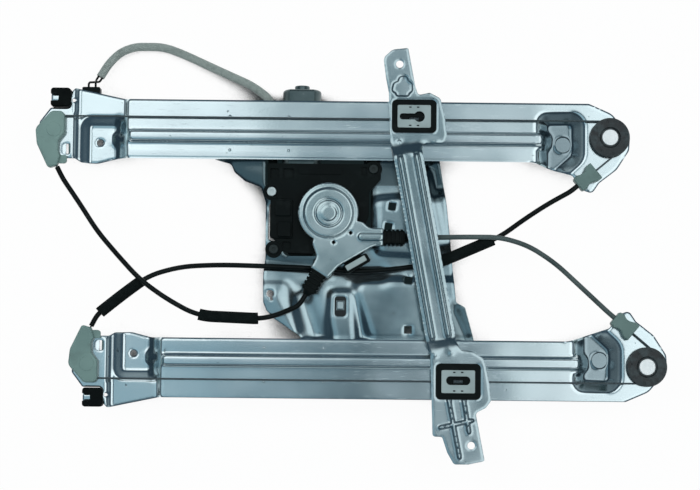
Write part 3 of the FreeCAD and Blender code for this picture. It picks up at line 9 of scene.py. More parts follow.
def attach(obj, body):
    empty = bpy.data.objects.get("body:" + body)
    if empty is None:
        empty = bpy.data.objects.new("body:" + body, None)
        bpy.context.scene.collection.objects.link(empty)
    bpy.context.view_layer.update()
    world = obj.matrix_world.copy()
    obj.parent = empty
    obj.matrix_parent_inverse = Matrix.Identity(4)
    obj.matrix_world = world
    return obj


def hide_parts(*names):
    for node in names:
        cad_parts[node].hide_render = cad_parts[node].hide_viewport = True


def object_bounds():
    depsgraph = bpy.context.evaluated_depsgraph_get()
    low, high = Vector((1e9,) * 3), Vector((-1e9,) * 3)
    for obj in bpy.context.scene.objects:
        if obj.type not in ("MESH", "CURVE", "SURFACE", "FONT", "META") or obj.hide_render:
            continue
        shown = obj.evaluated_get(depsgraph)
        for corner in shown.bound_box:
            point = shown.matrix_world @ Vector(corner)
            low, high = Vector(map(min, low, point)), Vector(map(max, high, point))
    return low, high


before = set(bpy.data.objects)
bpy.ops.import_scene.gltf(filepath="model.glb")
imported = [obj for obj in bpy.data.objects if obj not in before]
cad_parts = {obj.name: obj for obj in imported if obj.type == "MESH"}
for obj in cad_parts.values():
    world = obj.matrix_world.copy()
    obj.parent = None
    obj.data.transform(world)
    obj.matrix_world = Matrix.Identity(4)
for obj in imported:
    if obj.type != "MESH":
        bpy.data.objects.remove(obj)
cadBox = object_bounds()
print("stage: frame loaded,", len(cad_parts), "nodes")

mm = 0.001  # sizes below are in millimetres
noiseRange = (0.3, 0.7)  # where nearly all of a noise lies


# shader maths reads as an expression on these wires
class Wire:
    def __init__(self, finish, socket):
        self.finish = finish
        self.socket = socket

    def maths(self, operation, first, second=0.0):
        return self.finish.maths(operation, first, second)

    def __add__(self, other):
        return self.maths("ADD", self, other)

    def __radd__(self, other):
        return self.maths("ADD", other, self)

    def __sub__(self, other):
        return self.maths("SUBTRACT", self, other)

    def __rsub__(self, other):
        return self.maths("SUBTRACT", other, self)

    def __mul__(self, other):
        return self.maths("MULTIPLY", self, other)

    def __rmul__(self, other):
        return self.maths("MULTIPLY", other, self)


class Finish:
    # a material, or the world, and the one way to add nodes to it
    def __init__(self, name, world=None):
        self.material = world or bpy.data.materials.new(name)
        self.material.use_nodes = True
        self.tree = self.material.node_tree
        self.shader = self.tree.nodes.get("Principled BSDF")
        self.end = self.tree.nodes.get("Material Output") or self.tree.nodes.get("World Output")

    def node(self, kind, settings=None, sockets=None):
        made = self.tree.nodes.new(kind)
        for key, setting in (settings or {}).items():
            setattr(made, key, setting)
        for key, given in (sockets or {}).items():
            self.plug(made.inputs[key], given)
        return [Wire(self, out) for out in made.outputs]

    def plug(self, socket, given):
        if isinstance(given, Wire):
            self.tree.links.new(given.socket, socket)
        elif socket.type == "RGBA":
            socket.default_value = (*given, 1.0)
        else:
            socket.default_value = given

    def place(self, scale=(1, 1, 1), turn=(0, 0, 0), move=(0, 0, 0)):
        # object coordinates, in metres
        coords = self.node("ShaderNodeTexCoord")[3]
        sockets = {"Vector": coords, "Scale": scale, "Rotation": turn, "Location": move}
        return self.node("ShaderNodeMapping", None, sockets)[0]

    def noise(self, scale, detail=2.0, where=None, roughness=0.5):
        where = where or self.place()
        sockets = {"Vector": where, "Scale": scale, "Detail": detail, "Roughness": roughness}
        return self.node("ShaderNodeTexNoise", None, sockets)[0]

    def apart(self, wire):
        # x, y and z of a vector
        return self.node("ShaderNodeSeparateXYZ", None, {0: wire})

    def span(self, wire, low, high, out=(0.0, 1.0)):
        # maps low..high to out, held at both ends
        sockets = {0: wire, 1: low, 2: high, 3: out[0], 4: out[1]}
        return self.node("ShaderNodeMapRange", {"clamp": True}, sockets)[0]

    def easedSpan(self, wire, low, high):
        # low..high to 0..1, gently at both ends
        sockets = {0: wire, 1: low, 2: high}
        return self.node("ShaderNodeMapRange", {"interpolation_type": "SMOOTHSTEP"}, sockets)[0]

    def blend(self, factor, first, second, how="MIX"):
        settings = {"data_type": "RGBA", "blend_type": how}
        return self.node("ShaderNodeMix", settings, {0: factor, 6: first, 7: second})[2]

    def bump(self, height, strength, distance, under=None):
        sockets = {"Height": height, "Strength": strength, "Distance": distance}
        if under:
            sockets["Normal"] = under
        return self.node("ShaderNodeBump", None, sockets)[0]

    def seenDirectly(self):
        # one for camera, glossy and transmission rays
        rays = self.node("ShaderNodeLightPath")
        camera, glossy, transmission = rays[0], rays[3], rays[6]
        return self.maths("MAXIMUM", camera, self.maths("MAXIMUM", glossy, transmission))

    def maths(self, operation, first, second=0.0):
        return self.node("ShaderNodeMath", {"operation": operation}, {0: first, 1: second})[0]

    def surface(self, **sockets):
        for key, given in sockets.items():
            self.plug(self.shader.inputs[key.replace("_", " ")], given)
        return self.material


# scales are per metre; an edge is where a noise starts and where it is full
steelPattern = dict(
    waveScale=1.3, waveMove=(0.4, 0.9, 0.2), fine=420.0,
    streak=(14.0, 900.0, 900.0), streakEdge=(0.35, 0.65), streakShare=0.12, roughEdge=(0.25, 0.75),
    scratchA=(60.0, 2600.0, 300.0), turnA=(0, 0, 0.5), edgeA=(0.72, 0.78),
    scratchB=(75.0, 2300.0, 300.0), turnB=(0, 0, -1.05), moveB=(0.3, 0.1, 0.0), edgeB=(0.74, 0.80),
    speck=150.0, speckMove=(0.7, 0.2, 0.1), speckEdge=(0.76, 0.80), speckShare=0.55,
    speckTone=(0.16, 0.20, 0.21), paintedShadeEdge=(1.25, 0.75), roughSwing=(-0.05, 0.06), roughScratch=0.12,
    streakHeight=0.10, fineHeight=0.20, scratchDepth=0.35, speckDepth=0.8, waveBump=0.35, depth=0.0002,
)


def sheetSteel(name, look):
    # zinc plated sheet: cloudy tint, streaks along the draw, fine scratches, a few dark specks and painted
    # shade at listed places
    f = Finish(name)
    p = steelPattern
    cloud = f.noise(look["cloud"], 3.0)
    wave = f.noise(look["cloud"] * p["waveScale"], 1.0, f.place(move=p["waveMove"]))
    fine = f.noise(p["fine"], 2.0)
    streak = f.noise(1.0, 3.0, f.place(p["streak"]))
    scratchA = f.noise(1.0, 1.0, f.place(p["scratchA"], p["turnA"]))
    scratchB = f.noise(1.0, 1.0, f.place(p["scratchB"], p["turnB"], p["moveB"]))
    scratches = (f.span(scratchA, *p["edgeA"]) + f.span(scratchB, *p["edgeB"])) * look["worn"]
    specks = f.span(f.noise(p["speck"], 1.0, f.place(move=p["speckMove"])), *p["speckEdge"])
    tone = f.blend(f.span(cloud, *noiseRange), look["dark"], look["light"])
    tone = f.blend(f.span(streak, *p["streakEdge"], (0.0, p["streakShare"])), tone, look["streak"])
    tone = f.blend(specks * p["speckShare"], tone, p["speckTone"])
    for middle, reach, share in look["deep"]:
        # painted shade: each listed place is darkened towards the painted shade tone
        x, y = f.apart(f.place())[:2]
        across, along = (x - middle[0]) * (1 / reach[0]), (y - middle[1]) * (1 / reach[1])
        across, along = across * across, along * along
        paintedShade = f.span(across * across + along * along, *p["paintedShadeEdge"])
        tone = f.blend(paintedShade * share, tone, look["paintedShadeTone"])
    swing = [look["rough"] + s for s in p["roughSwing"]]
    rough = f.span(cloud, *p["roughEdge"], swing) + scratches * p["roughScratch"]
    height = streak * p["streakHeight"] + fine * p["fineHeight"]
    height = height - scratches * p["scratchDepth"] - specks * p["speckDepth"]
    normal = f.bump(wave, p["waveBump"], look["wave"], f.bump(height, look["bump"], p["depth"]))
    return f.surface(Base_Color=tone, Metallic=look["metal"], Roughness=rough, Normal=normal)


plasticPattern = dict(cloud=24.0, dust=65.0, dustMove=(0.2, 0.5, 0.3), dustEdge=(0.56, 0.75),
                      roughSwing=(-0.04, 0.05), roughDust=0.08, depth=0.0002)


def mouldedPlastic(name, look):
    # an even moulding with fine grain and a little dust
    f = Finish(name)
    p = plasticPattern
    grain = f.noise(look["grain"], 3.0)
    cloud = f.noise(p["cloud"], 2.0)
    dust = f.span(f.noise(p["dust"], 4.0, f.place(move=p["dustMove"])), *p["dustEdge"])
    tone = f.blend(f.span(cloud, *noiseRange), look["dark"], look["light"])
    tone = f.blend(dust * look["dust"], tone, look["dusty"])
    swing = [look["rough"] + s for s in p["roughSwing"]]
    rough = f.span(cloud, *noiseRange, swing) + dust * p["roughDust"]
    normal = f.bump(grain, look["bump"], p["depth"])
    f.plug(f.shader.inputs["Specular IOR Level"], look["gloss"])
    return f.surface(Base_Color=tone, Roughness=rough, Normal=normal)


foamLook = dict(cell=900.0, soft=160.0, softShare=1.5, dark=(0.002, 0.004, 0.004), light=(0.010, 0.014, 0.014),
                bump=0.55, depth=0.0006, gloss=0.1, rough=0.95)


def foamFinish(name, look):
    f = Finish(name)
    sockets = {"Vector": f.place(), "Scale": look["cell"]}
    cells = f.node("ShaderNodeTexVoronoi", {"feature": "F1"}, sockets)[0]
    soft = f.noise(look["soft"], 3.0)
    tone = f.blend(soft, look["dark"], look["light"])
    normal = f.bump(cells + soft * look["softShare"], look["bump"], look["depth"])
    f.plug(f.shader.inputs["Specular IOR Level"], look["gloss"])
    return f.surface(Base_Color=tone, Roughness=look["rough"], Normal=normal)


fleeceLook = dict(fibre=(700.0, 2600.0, 700.0), turn=(0, 0, 0.5), fray=0.7, tuft=180.0, tuftEdge=(0.5, 0.8),
                  tuftShare=0.5, dark=(0.16, 0.20, 0.185), light=(0.40, 0.46, 0.43),
                  deep=(0.10, 0.125, 0.115), bump=0.7, depth=0.0008, sheen=0.25, rough=0.92)


def fleeceFinish(name, look):
    f = Finish(name)
    fibre = f.noise(1.0, 4.0, f.place(look["fibre"], look["turn"]), look["fray"])
    tuft = f.noise(look["tuft"], 4.0)
    tone = f.blend(f.span(fibre, *noiseRange), look["dark"], look["light"])
    tone = f.blend(f.span(tuft, *look["tuftEdge"], (0.0, look["tuftShare"])), tone, look["deep"])
    normal = f.bump(fibre + tuft, look["bump"], look["depth"])
    return f.surface(Base_Color=tone, Roughness=look["rough"], Sheen_Weight=look["sheen"], Normal=normal)


strandLook = dict(dark=(0.03, 0.045, 0.05), light=(0.20, 0.25, 0.27), pitch=420.0, turn=(0, 0, 0.9), ripple=0.4,
                  metal=0.7, rough=0.42, bump=0.8, depth=0.0003)


def strandFinish(name, look):
    # a stranded cable that runs along X: its strands show as a slanting pattern
    f = Finish(name)
    sockets = {"Vector": f.place(turn=look["turn"]), "Scale": look["pitch"], "Distortion": look["ripple"]}
    wave = f.node("ShaderNodeTexWave", {"wave_type": "BANDS", "bands_direction": "X"}, sockets)[1]
    tone = f.blend(wave, look["dark"], look["light"])
    normal = f.bump(wave, look["bump"], look["depth"])
    return f.surface(Base_Color=tone, Metallic=look["metal"], Roughness=look["rough"], Normal=normal)


clipLook = dict(arch=(0.2248, -0.0557), reach=(0.0040, 0.0047), dark=(0.004, 0.008, 0.009),
                edge=(1.05, 0.95), bright=(0.45, 0.55, 0.57), metal=(0.2, 0.95), rough=0.35)
grit = dict(scale=500.0, bump=0.2, depth=0.0002)  # on both blackened steels


def gritty(f):
    return f.bump(f.noise(grit["scale"], 2.0), grit["bump"], grit["depth"])


def clipFinish(name, look):
    # a dark spring clip whose arch is rubbed bright
    f = Finish(name)
    x, y = f.apart(f.place())[:2]
    across = (x - look["arch"][0]) * (1 / look["reach"][0])
    along = (y - look["arch"][1]) * (1 / look["reach"][1])
    rubbed = f.span(f.maths("MAXIMUM", across * across, along * along), *look["edge"])
    tone = f.blend(rubbed, look["dark"], look["bright"])
    metal = f.span(rubbed, 0, 1, look["metal"])
    return f.surface(Base_Color=tone, Metallic=metal, Roughness=look["rough"], Normal=gritty(f))


# bareEdge: squares of the distance from bareAt (metres), where all is black and where all is bright
earScrewLook = dict(bareAt=(0.1549, 0.0576), bareEdge=(0.00011, 0.00010), black=(0.010, 0.018, 0.018),
                    bright=(0.62, 0.70, 0.70), metal=(0.3, 0.9), rough=0.38)


def earScrews(name, look):
    # the left screw is bare and bright, the two others are blackened
    f = Finish(name)
    x, y = f.apart(f.place())[:2]
    across, along = x - look["bareAt"][0], y - look["bareAt"][1]
    bare = f.span(across * across + along * along, *look["bareEdge"])
    tone = f.blend(bare, look["black"], look["bright"])
    metal = f.span(bare, 0, 1, look["metal"])
    return f.surface(Base_Color=tone, Metallic=metal, Roughness=look["rough"], Normal=gritty(f))


pulleyLook = dict(wear=95.0, fray=0.65, wearEdge=(0.44, 0.66), grease=38.0, greaseMove=(0.3, 0.1, 0.2),
                  greaseEdge=(0.45, 0.62), greaseShare=0.75, dark=(0.006, 0.010, 0.012),
                  worn=(0.050, 0.068, 0.072), greasy=(0.009, 0.014, 0.016), rough=(0.30, 0.62),
                  bump=0.35, depth=0.0004)


def wornPulley(name, look):
    # dark moulding, greased and worn grey in patches
    f = Finish(name)
    wear = f.span(f.noise(look["wear"], 5.0, None, look["fray"]), *look["wearEdge"])
    grease = f.span(f.noise(look["grease"], 3.0, f.place(move=look["greaseMove"])), *look["greaseEdge"])
    tone = f.blend(wear, look["dark"], look["worn"])
    tone = f.blend(grease * look["greaseShare"], tone, look["greasy"])
    rough = f.span(wear, 0.0, 1.0, look["rough"])
    return f.surface(Base_Color=tone, Roughness=rough, Normal=f.bump(wear, look["bump"], look["depth"]))


# deep: middle and reach (metres) and share of each place given painted shade, in the painted shade tone
steelLooks = {
    "railSteel": dict(dark=(0.64, 0.76, 0.79), light=(0.76, 0.87, 0.90), streak=(0.84, 0.92, 0.94),
                      cloud=9.0, rough=0.14, bump=0.18, wave=0.002, worn=0.6, metal=0.97,
                      deep=[((0.0018, 0.108), (0.0065, 0.024), 0.75), ((0.0392, -0.108), (0.0065, 0.024), 0.7),
                            ((0.4445, 0.112), (0.021, 0.028), 0.85), ((0.4815, -0.112), (0.021, 0.028), 0.8)],
                      paintedShadeTone=(0.20, 0.27, 0.30)),
    # plateSteel: tones darker than the rails' steel, as painted shade for a plate that sits behind the rails
    "plateSteel": dict(dark=(0.28, 0.39, 0.43), light=(0.48, 0.60, 0.63), streak=(0.52, 0.62, 0.65),
                       cloud=14.0, rough=0.19, bump=0.12, wave=0.004, worn=0.3, metal=0.97,
                       deep=[((0.120, 0.070), (0.034, 0.036), 0.75), ((0.238, 0.070), (0.022, 0.030), 0.65),
                             ((0.176, -0.012), (0.050, 0.010), 0.6), ((0.346, -0.078), (0.013, 0.030), 0.5),
                             ((0.316, 0.072), (0.014, 0.024), 0.85),
                             ((0.268, 0.078), (0.030, 0.013), 0.7)],
                       paintedShadeTone=(0.035, 0.060, 0.068)),
    "bracketSteel": dict(dark=(0.36, 0.47, 0.50), light=(0.50, 0.60, 0.63), streak=(0.58, 0.68, 0.70),
                         cloud=16.0, rough=0.19, bump=0.14, wave=0.003, worn=0.5, metal=0.97, deep=[]),
    "coverSteel": dict(dark=(0.44, 0.56, 0.58), light=(0.56, 0.66, 0.68), streak=(0.62, 0.71, 0.73),
                       cloud=24.0, rough=0.22, bump=0.12, wave=0.001, worn=0.4, metal=0.97, deep=[]),
    "brightSteel": dict(dark=(0.74, 0.80, 0.81), light=(0.92, 0.95, 0.95), streak=(0.88, 0.91, 0.91),
                        cloud=90.0, rough=0.30, bump=0.12, wave=0.0005, worn=0.4, metal=0.8, deep=[]),
    "canSteel": dict(dark=(0.05, 0.08, 0.085), light=(0.12, 0.165, 0.17), streak=(0.16, 0.20, 0.21),
                     cloud=30.0, rough=0.34, bump=0.2, wave=0.001, worn=0.6, metal=0.85, deep=[]),
}
plasticLooks = {
    "greyMoulding": dict(dark=(0.14, 0.23, 0.215), light=(0.20, 0.31, 0.285), dusty=(0.10, 0.15, 0.14),
                         dust=0.45, rough=0.46, grain=500.0, bump=0.12, gloss=0.35),
    "fittingMoulding": dict(dark=(0.098, 0.162, 0.152), light=(0.140, 0.220, 0.204), dusty=(0.08, 0.12, 0.11),
                            dust=0.45, rough=0.46, grain=500.0, bump=0.12, gloss=0.35),
    "beigeMoulding": dict(dark=(0.27, 0.35, 0.35), light=(0.38, 0.47, 0.47), dusty=(0.17, 0.22, 0.21),
                          dust=0.35, rough=0.46, grain=600.0, bump=0.10, gloss=0.35),
    "blackMoulding": dict(dark=(0.0012, 0.0030, 0.0030), light=(0.0032, 0.0065, 0.0065),
                          dusty=(0.016, 0.022, 0.022), dust=0.4, rough=0.42, grain=700.0, bump=0.15,
                          gloss=0.10),
    "softRubber": dict(dark=(0.001, 0.002, 0.002), light=(0.003, 0.005, 0.005), dusty=(0.012, 0.016, 0.015),
                       dust=0.3, rough=0.60, grain=900.0, bump=0.2, gloss=0.10),
    "blackSheath": dict(dark=(0.0015, 0.0030, 0.0030), light=(0.005, 0.008, 0.008), dusty=(0.03, 0.036, 0.034),
                        dust=0.30, rough=0.36, grain=300.0, bump=0.1, gloss=0.14),
    "greySheath": dict(dark=(0.035, 0.055, 0.055), light=(0.085, 0.115, 0.112), dusty=(0.02, 0.03, 0.03),
                       dust=0.5, rough=0.40, grain=300.0, bump=0.1, gloss=0.3),
}

finishes = {name: sheetSteel(name, look) for name, look in steelLooks.items()}
finishes.update({name: mouldedPlastic(name, look) for name, look in plasticLooks.items()})
finishes["railStrand"] = strandFinish("railStrand", strandLook)
finishes["foamTube"] = foamFinish("foamTube", foamLook)
finishes["fleece"] = fleeceFinish("fleece", fleeceLook)
finishes["wornPulley"] = wornPulley("wornPulley", pulleyLook)
finishes["clipSteel"] = clipFinish("clipSteel", clipLook)
finishes["earScrews"] = earScrews("earScrews", earScrewLook)
print("stage: finishes made,", len(finishes))

# which finish each part carries
partFinish = {
    "railSteel": ["upper_rail", "lower_rail", "upper_rail_stud", "lower_rail_stud", "upper_plate_rivets",
                  "lower_plate_rivets"],
    "plateSteel": ["motor_plate"],
    "bracketSteel": ["lift_bracket"],
    "coverSteel": ["drum_cover"],
    "clipSteel": ["plate_clip"],
    "brightSteel": ["drum_shaft", "upper_pulley_pin", "lower_pulley_pin"],
    "earScrews": ["motor_screws"],
    "canSteel": ["motor_can"],
    "greyMoulding": ["upper_cable_deflector", "lower_cable_deflector"],
    "fittingMoulding": ["upper_conduit_fitting", "lower_conduit_fitting"],
    "beigeMoulding": ["upper_carrier_plate", "lower_carrier_plate", "plug_lock"],
    "blackMoulding": ["gear_housing", "gear_cover", "control_box", "housing_lid", "plug_body", "drum_housing",
                      "cable_drum", "right_conduit_port", "left_conduit_port", "harness_connector",
                      "harness_plug", "upper_slider", "lower_slider", "upper_slider_frame",
                      "lower_slider_frame"],
    "softRubber": ["upper_end_buffer", "lower_end_buffer"],
    "blackSheath": ["upper_conduit", "lower_conduit", "harness_wires"],
    "greySheath": ["drum_conduit"],
    "railStrand": ["upper_rail_cable", "lower_rail_cable", "port_cables", "drum_cable", "upper_cable_nipple",
                   "lower_cable_nipple"],
    "foamTube": ["upper_conduit_sleeve", "lower_conduit_sleeve", "right_conduit_sleeve"],
    "fleece": ["harness_sleeve"],
    "wornPulley": ["upper_pulley", "lower_pulley"],
}
for finishName, nodes in partFinish.items():
    for nodeName in nodes:
        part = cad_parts[nodeName]
        if not part.material_slots:
            part.data.materials.append(finishes[finishName])
        for slot in part.material_slots:
            slot.material = finishes[finishName]
bare = [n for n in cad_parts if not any(n in nodes for nodes in partFinish.values())]
print("stage: parts finished, left bare:", bare)


# pressed sheets: cut into a fine net and given the soft walls and rims that a press leaves
# soft: spread of the walls; rim: drop of the rims; step, fineStep: cuts along Y and X
# filledBy: parts that close holes; carry: box over which the rib runs on (left, right, front, back)
# roll: soft ridge or hollow along a line (start, end, spread, height); ring: middle, radius, spread, height
# eased: step drawn out more gently (start, end, spread)
sheetLooks = {
    "upper_rail": dict(finish="railSteel", body="root", soft=1.1, rim=0.9, step=1.1, fineStep=1.4,
                       filledBy=["upper_plate_rivets", "upper_rail_stud"], carry=(405, 427.5, 103, 121),
                       rolls=[((14, 104.0), (427, 104.0), 2.6, -0.55), ((2.0, 92), (2.0, 128), 2.6, -1.4),
                              ((-43.2, 92), (-43.2, 132), 1.8, -0.9)],
                       rings=[], eased=[]),
    "lower_rail": dict(finish="railSteel", body="root", soft=1.1, rim=0.9, step=1.1, fineStep=1.4,
                       filledBy=["lower_plate_rivets", "lower_rail_stud"], carry=(442, 464.5, -121, -103),
                       rolls=[((52, -104.0), (464, -104.0), 2.6, -0.55), ((39.5, -92), (39.5, -128), 2.6, -1.4),
                              ((-6.0, -92), (-6.0, -132), 1.8, -0.9)],
                       rings=[], eased=[]),
    "motor_plate": dict(finish="plateSteel", body="root", soft=2.8, rim=0.6, step=1.7, fineStep=1.7,
                        filledBy=[], carry=None,
                        rolls=[((188, -50), (200, -86), 7.0, -3.6), ((96, 70), (146, 44), 10.0, -5.5),
                               ((222, 86), (240, 40), 9.0, -5.5), ((146, -10), (205, -16), 6.0, -3.6),
                               ((306, 88), (316, 64), 6.0, -3.6), ((338, -62), (350, -88), 7.0, -3.6),
                               ((160, -48), (178, -80), 6.0, 1.2), ((222, -20), (262, -24), 6.0, -3.0)],
                        rings=[], eased=[]),
    "lift_bracket": dict(finish="bracketSteel", body="lift", soft=1.0, rim=0.5, step=1.2, fineStep=1.1,
                         filledBy=[], carry=None, rolls=[], rings=[],
                         eased=[((272, 99.0), (310, 104.5), 4.0), ((307, -99.0), (343, -94.5), 4.0)]),
    "drum_cover": dict(finish="coverSteel", body="root", soft=0.6, rim=0.6, step=0.9, fineStep=0.9,
                       filledBy=[], carry=None, rolls=[],
                       rings=[((212.5, 35.3), 25.0, 0.8, -0.45), ((212.5, 35.3), 13.3, 0.7, -0.45),
                              ((212.5, 35.3), 8.0, 0.7, -0.45)], eased=[]),
}
netLook = dict(
    raster=0.7,  # of the height maps
    thickest=3.2,  # more than this is not one sheet
    least=0.02,  # share of known heights that is enough
    rimSpread=1.1,
    rimCurve=1.5,  # power of the drop
    easeGain=1.6,
    easeReach=1.3,  # of an eased step, in its spreads
    near=3.5,  # of a corner of the solid: fine cuts
    coarse=3.5,
    first=0.4,  # cut, from the left end
    weld=0.01,
    level=0.5,  # degrees: faces that are joined first
    sharp=40,  # degrees: edges that stay sharp
    facing=0.2,  # slope from which a face counts as upper or under
    lift=2.5,  # the under face is raised by no more
)


class HeightMap:
    # heights of the upper or the lower face of a sheet, looked up over its plan
    def __init__(self, tree, low, high, side):
        self.low, self.step = low, netLook["raster"] * mm
        wide = int((high.x - low.x) / self.step) + 4
        deep = int((high.y - low.y) / self.step) + 4
        self.heights = numpy.zeros((deep, wide))
        self.known = numpy.zeros((deep, wide))
        start = high.z + mm if side > 0 else low.z - mm
        ray = Vector((0, 0, -side))
        for row in range(deep):
            y = low.y + (row - 1) * self.step
            for column in range(wide):
                hit = tree.ray_cast(Vector((low.x + (column - 1) * self.step, y, start)), ray)[0]
                if hit:
                    self.heights[row, column] = hit.z
                    self.known[row, column] = 1.0

    def blurred(self, grid, spread):
        reach = int(3 * spread / self.step) + 1
        bell = numpy.exp(-0.5 * (numpy.arange(-reach, reach + 1) * self.step / spread) ** 2)
        for axis in (0, 1):
            grid = numpy.apply_along_axis(numpy.convolve, axis, grid, bell / bell.sum(), "same")
        return grid

    def soften(self, flat, spread):
        # flat marks where both faces of the sheet are known
        self.flat = flat
        share = self.blurred(flat, spread)
        self.sure = share > netLook["least"]
        self.soft = self.blurred(self.heights * flat, spread) / numpy.maximum(share, netLook["least"])

    def offsets(self, point):
        rows, columns = numpy.indices(self.heights.shape)
        x = self.low.x + (columns - 1) * self.step - point[0] * mm
        y = self.low.y + (rows - 1) * self.step - point[1] * mm
        return x, y

    def nearLine(self, start, end, spread):
        # one on the line, fading to nothing beside it
        x, y = self.offsets(start)
        dx, dy = (end[0] - start[0]) * mm, (end[1] - start[1]) * mm
        along = numpy.clip((x * dx + y * dy) / (dx * dx + dy * dy), 0, 1)
        away = numpy.hypot(x - along * dx, y - along * dy)
        return numpy.exp(-0.5 * (away / (spread * mm)) ** 2)

    def add(self, start, end, spread, height):
        # a soft ridge, or a hollow
        self.soft = self.soft + height * mm * self.nearLine(start, end, spread)

    def ease(self, start, end, spread):
        # a step that is drawn out more gently than the rest
        reach = netLook["easeReach"] * spread
        share = numpy.clip(netLook["easeGain"] * self.nearLine(start, end, reach), 0, 1)
        known = numpy.maximum(self.blurred(self.flat, spread * mm), netLook["least"])
        gentle = self.blurred(self.heights * self.flat, spread * mm) / known
        self.soft = self.soft + share * (gentle - self.soft)

    def addRing(self, middle, radius, spread, height):
        x, y = self.offsets(middle)
        away = numpy.hypot(x, y) - radius * mm
        self.soft = self.soft + height * mm * numpy.exp(-0.5 * (away / (spread * mm)) ** 2)

    def at(self, x, y):
        # soft heights at these places, and whether they are sure
        across, along = (x - self.low.x) / self.step + 1, (y - self.low.y) / self.step + 1
        column, row = across.astype(int), along.astype(int)
        u, v = across - column, along - row
        mixed = ((self.soft[row, column] * (1 - u) + self.soft[row, column + 1] * u) * (1 - v)
                 + (self.soft[row + 1, column] * (1 - u) + self.soft[row + 1, column + 1] * u) * v)
        return mixed, self.sure[row, column] & self.sure[row + 1, column + 1]


def pressedSheet(nodeName, look):
    net = netLook
    mesh = bmesh.new()
    mesh.from_mesh(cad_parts[nodeName].data)
    bmesh.ops.remove_doubles(mesh, verts=mesh.verts[:], dist=net["weld"] * mm)
    places = numpy.array([v.co for v in mesh.verts])
    low, high = Vector(places.min(0)), Vector(places.max(0))
    filled = mesh.copy()
    for other in look["filledBy"]:
        filled.from_mesh(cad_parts[other].data)
    tree = BVHTree.FromBMesh(filled)
    filled.free()
    top, under = HeightMap(tree, low, high, 1), HeightMap(tree, low, high, -1)
    if look["carry"]:
        # the rib keeps its section up to the pocket
        cells = [int((v * mm - low[i // 2]) / top.step) + 1 for i, v in enumerate(look["carry"])]
        left, right, front, back = cells
        for level in (top, under):
            level.heights[front:back, left:right] = level.heights[front:back, left:left + 1]
    flat = top.known * (top.heights - under.heights < net["thickest"] * mm)
    top.soften(flat, look["soft"] * mm)
    under.soften(flat, look["soft"] * mm)
    for step in look["eased"]:
        top.ease(*step)
        under.ease(*step)
    for roll in look["rolls"]:
        top.add(*roll)
        under.add(*roll)
    for ring in look["rings"]:
        top.addRing(*ring)
    inside = top.blurred(top.known, net["rimSpread"] * mm)
    top.soft = top.soft - look["rim"] * mm * numpy.clip(2 - 2 * inside, 0, 1) ** net["rimCurve"]

    # a net of cuts, fine where the relief needs it
    almostFlat = math.radians(net["level"])
    bmesh.ops.dissolve_limit(mesh, angle_limit=almostFlat, verts=mesh.verts[:], edges=mesh.edges[:])
    cuts = [((0, y, 0), (0, 1, 0)) for y in numpy.arange(low.y, high.y, look["step"] * mm)[1:]]
    x = low.x + net["first"] * mm
    while x < high.x:
        cuts.append(((x, 0, 0), (1, 0, 0)))
        near = numpy.abs(places[:, 0] - x).min() < net["near"] * mm
        x += (look["fineStep"] if near else net["coarse"]) * mm
    for place, normal in cuts:
        everything = mesh.verts[:] + mesh.edges[:] + mesh.faces[:]
        bmesh.ops.bisect_plane(mesh, geom=everything, dist=net["weld"] * mm, plane_co=place, plane_no=normal)
    bmesh.ops.triangulate(mesh, faces=[f for f in mesh.faces if len(f.verts) > 4])

    verts = mesh.verts[:]
    places = numpy.array([v.co for v in verts])
    upper, upperSure = top.at(places[:, 0], places[:, 1])
    lower, lowerSure = under.at(places[:, 0], places[:, 1])
    for i, vert in enumerate(verts):
        slopes = [face.normal.z for face in vert.link_faces]
        if max(slopes) > net["facing"] and upperSure[i]:
            vert.co.z = upper[i]
        elif min(slopes) < -net["facing"] and lowerSure[i] and lower[i] - vert.co.z < net["lift"] * mm:
            vert.co.z = lower[i]
    mesh.normal_update()
    for face in mesh.faces:
        face.smooth = True
    sharp = math.radians(net["sharp"])
    for edge in mesh.edges:
        edge.smooth = not (edge.is_manifold and edge.calc_face_angle() > sharp)
    made = bpy.data.objects.new("pressed_" + nodeName, bpy.data.meshes.new("pressed_" + nodeName))
    mesh.to_mesh(made.data)
    mesh.free()
    bpy.context.scene.collection.objects.link(made)
    made.data.materials.append(finishes[look["finish"]])
    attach(made, look["body"])
    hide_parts(nodeName)
    print("stage: pressed", nodeName, len(made.data.polygons), "faces")


for nodeName, look in sheetLooks.items():
    pressedSheet(nodeName, look)


# turn: axis times angle; focalPixels: for a picture of that many pixels across
cameraLook = dict(place=(230.74, -133.65, 2000.0), turn=(0.0693412, -0.0019297, 0.0104799),
                  focalPixels=1996.6, pixelsAcross=700, sensor=36.0, clip=(0.05, 20.0))


def makeCamera(look):
    camera = bpy.data.objects.new("camera", bpy.data.cameras.new("camera"))
    bpy.context.scene.collection.objects.link(camera)
    turn = Vector(look["turn"])
    camera.matrix_world = Matrix.Translation(Vector(look["place"]) * mm) @ Matrix.Rotation(turn.length, 4, turn)
    camera.data.sensor_width = look["sensor"]
    camera.data.lens = look["focalPixels"] / look["pixelsAcross"] * look["sensor"]
    camera.data.clip_start, camera.data.clip_end = look["clip"]
    bpy.context.scene.camera = camera


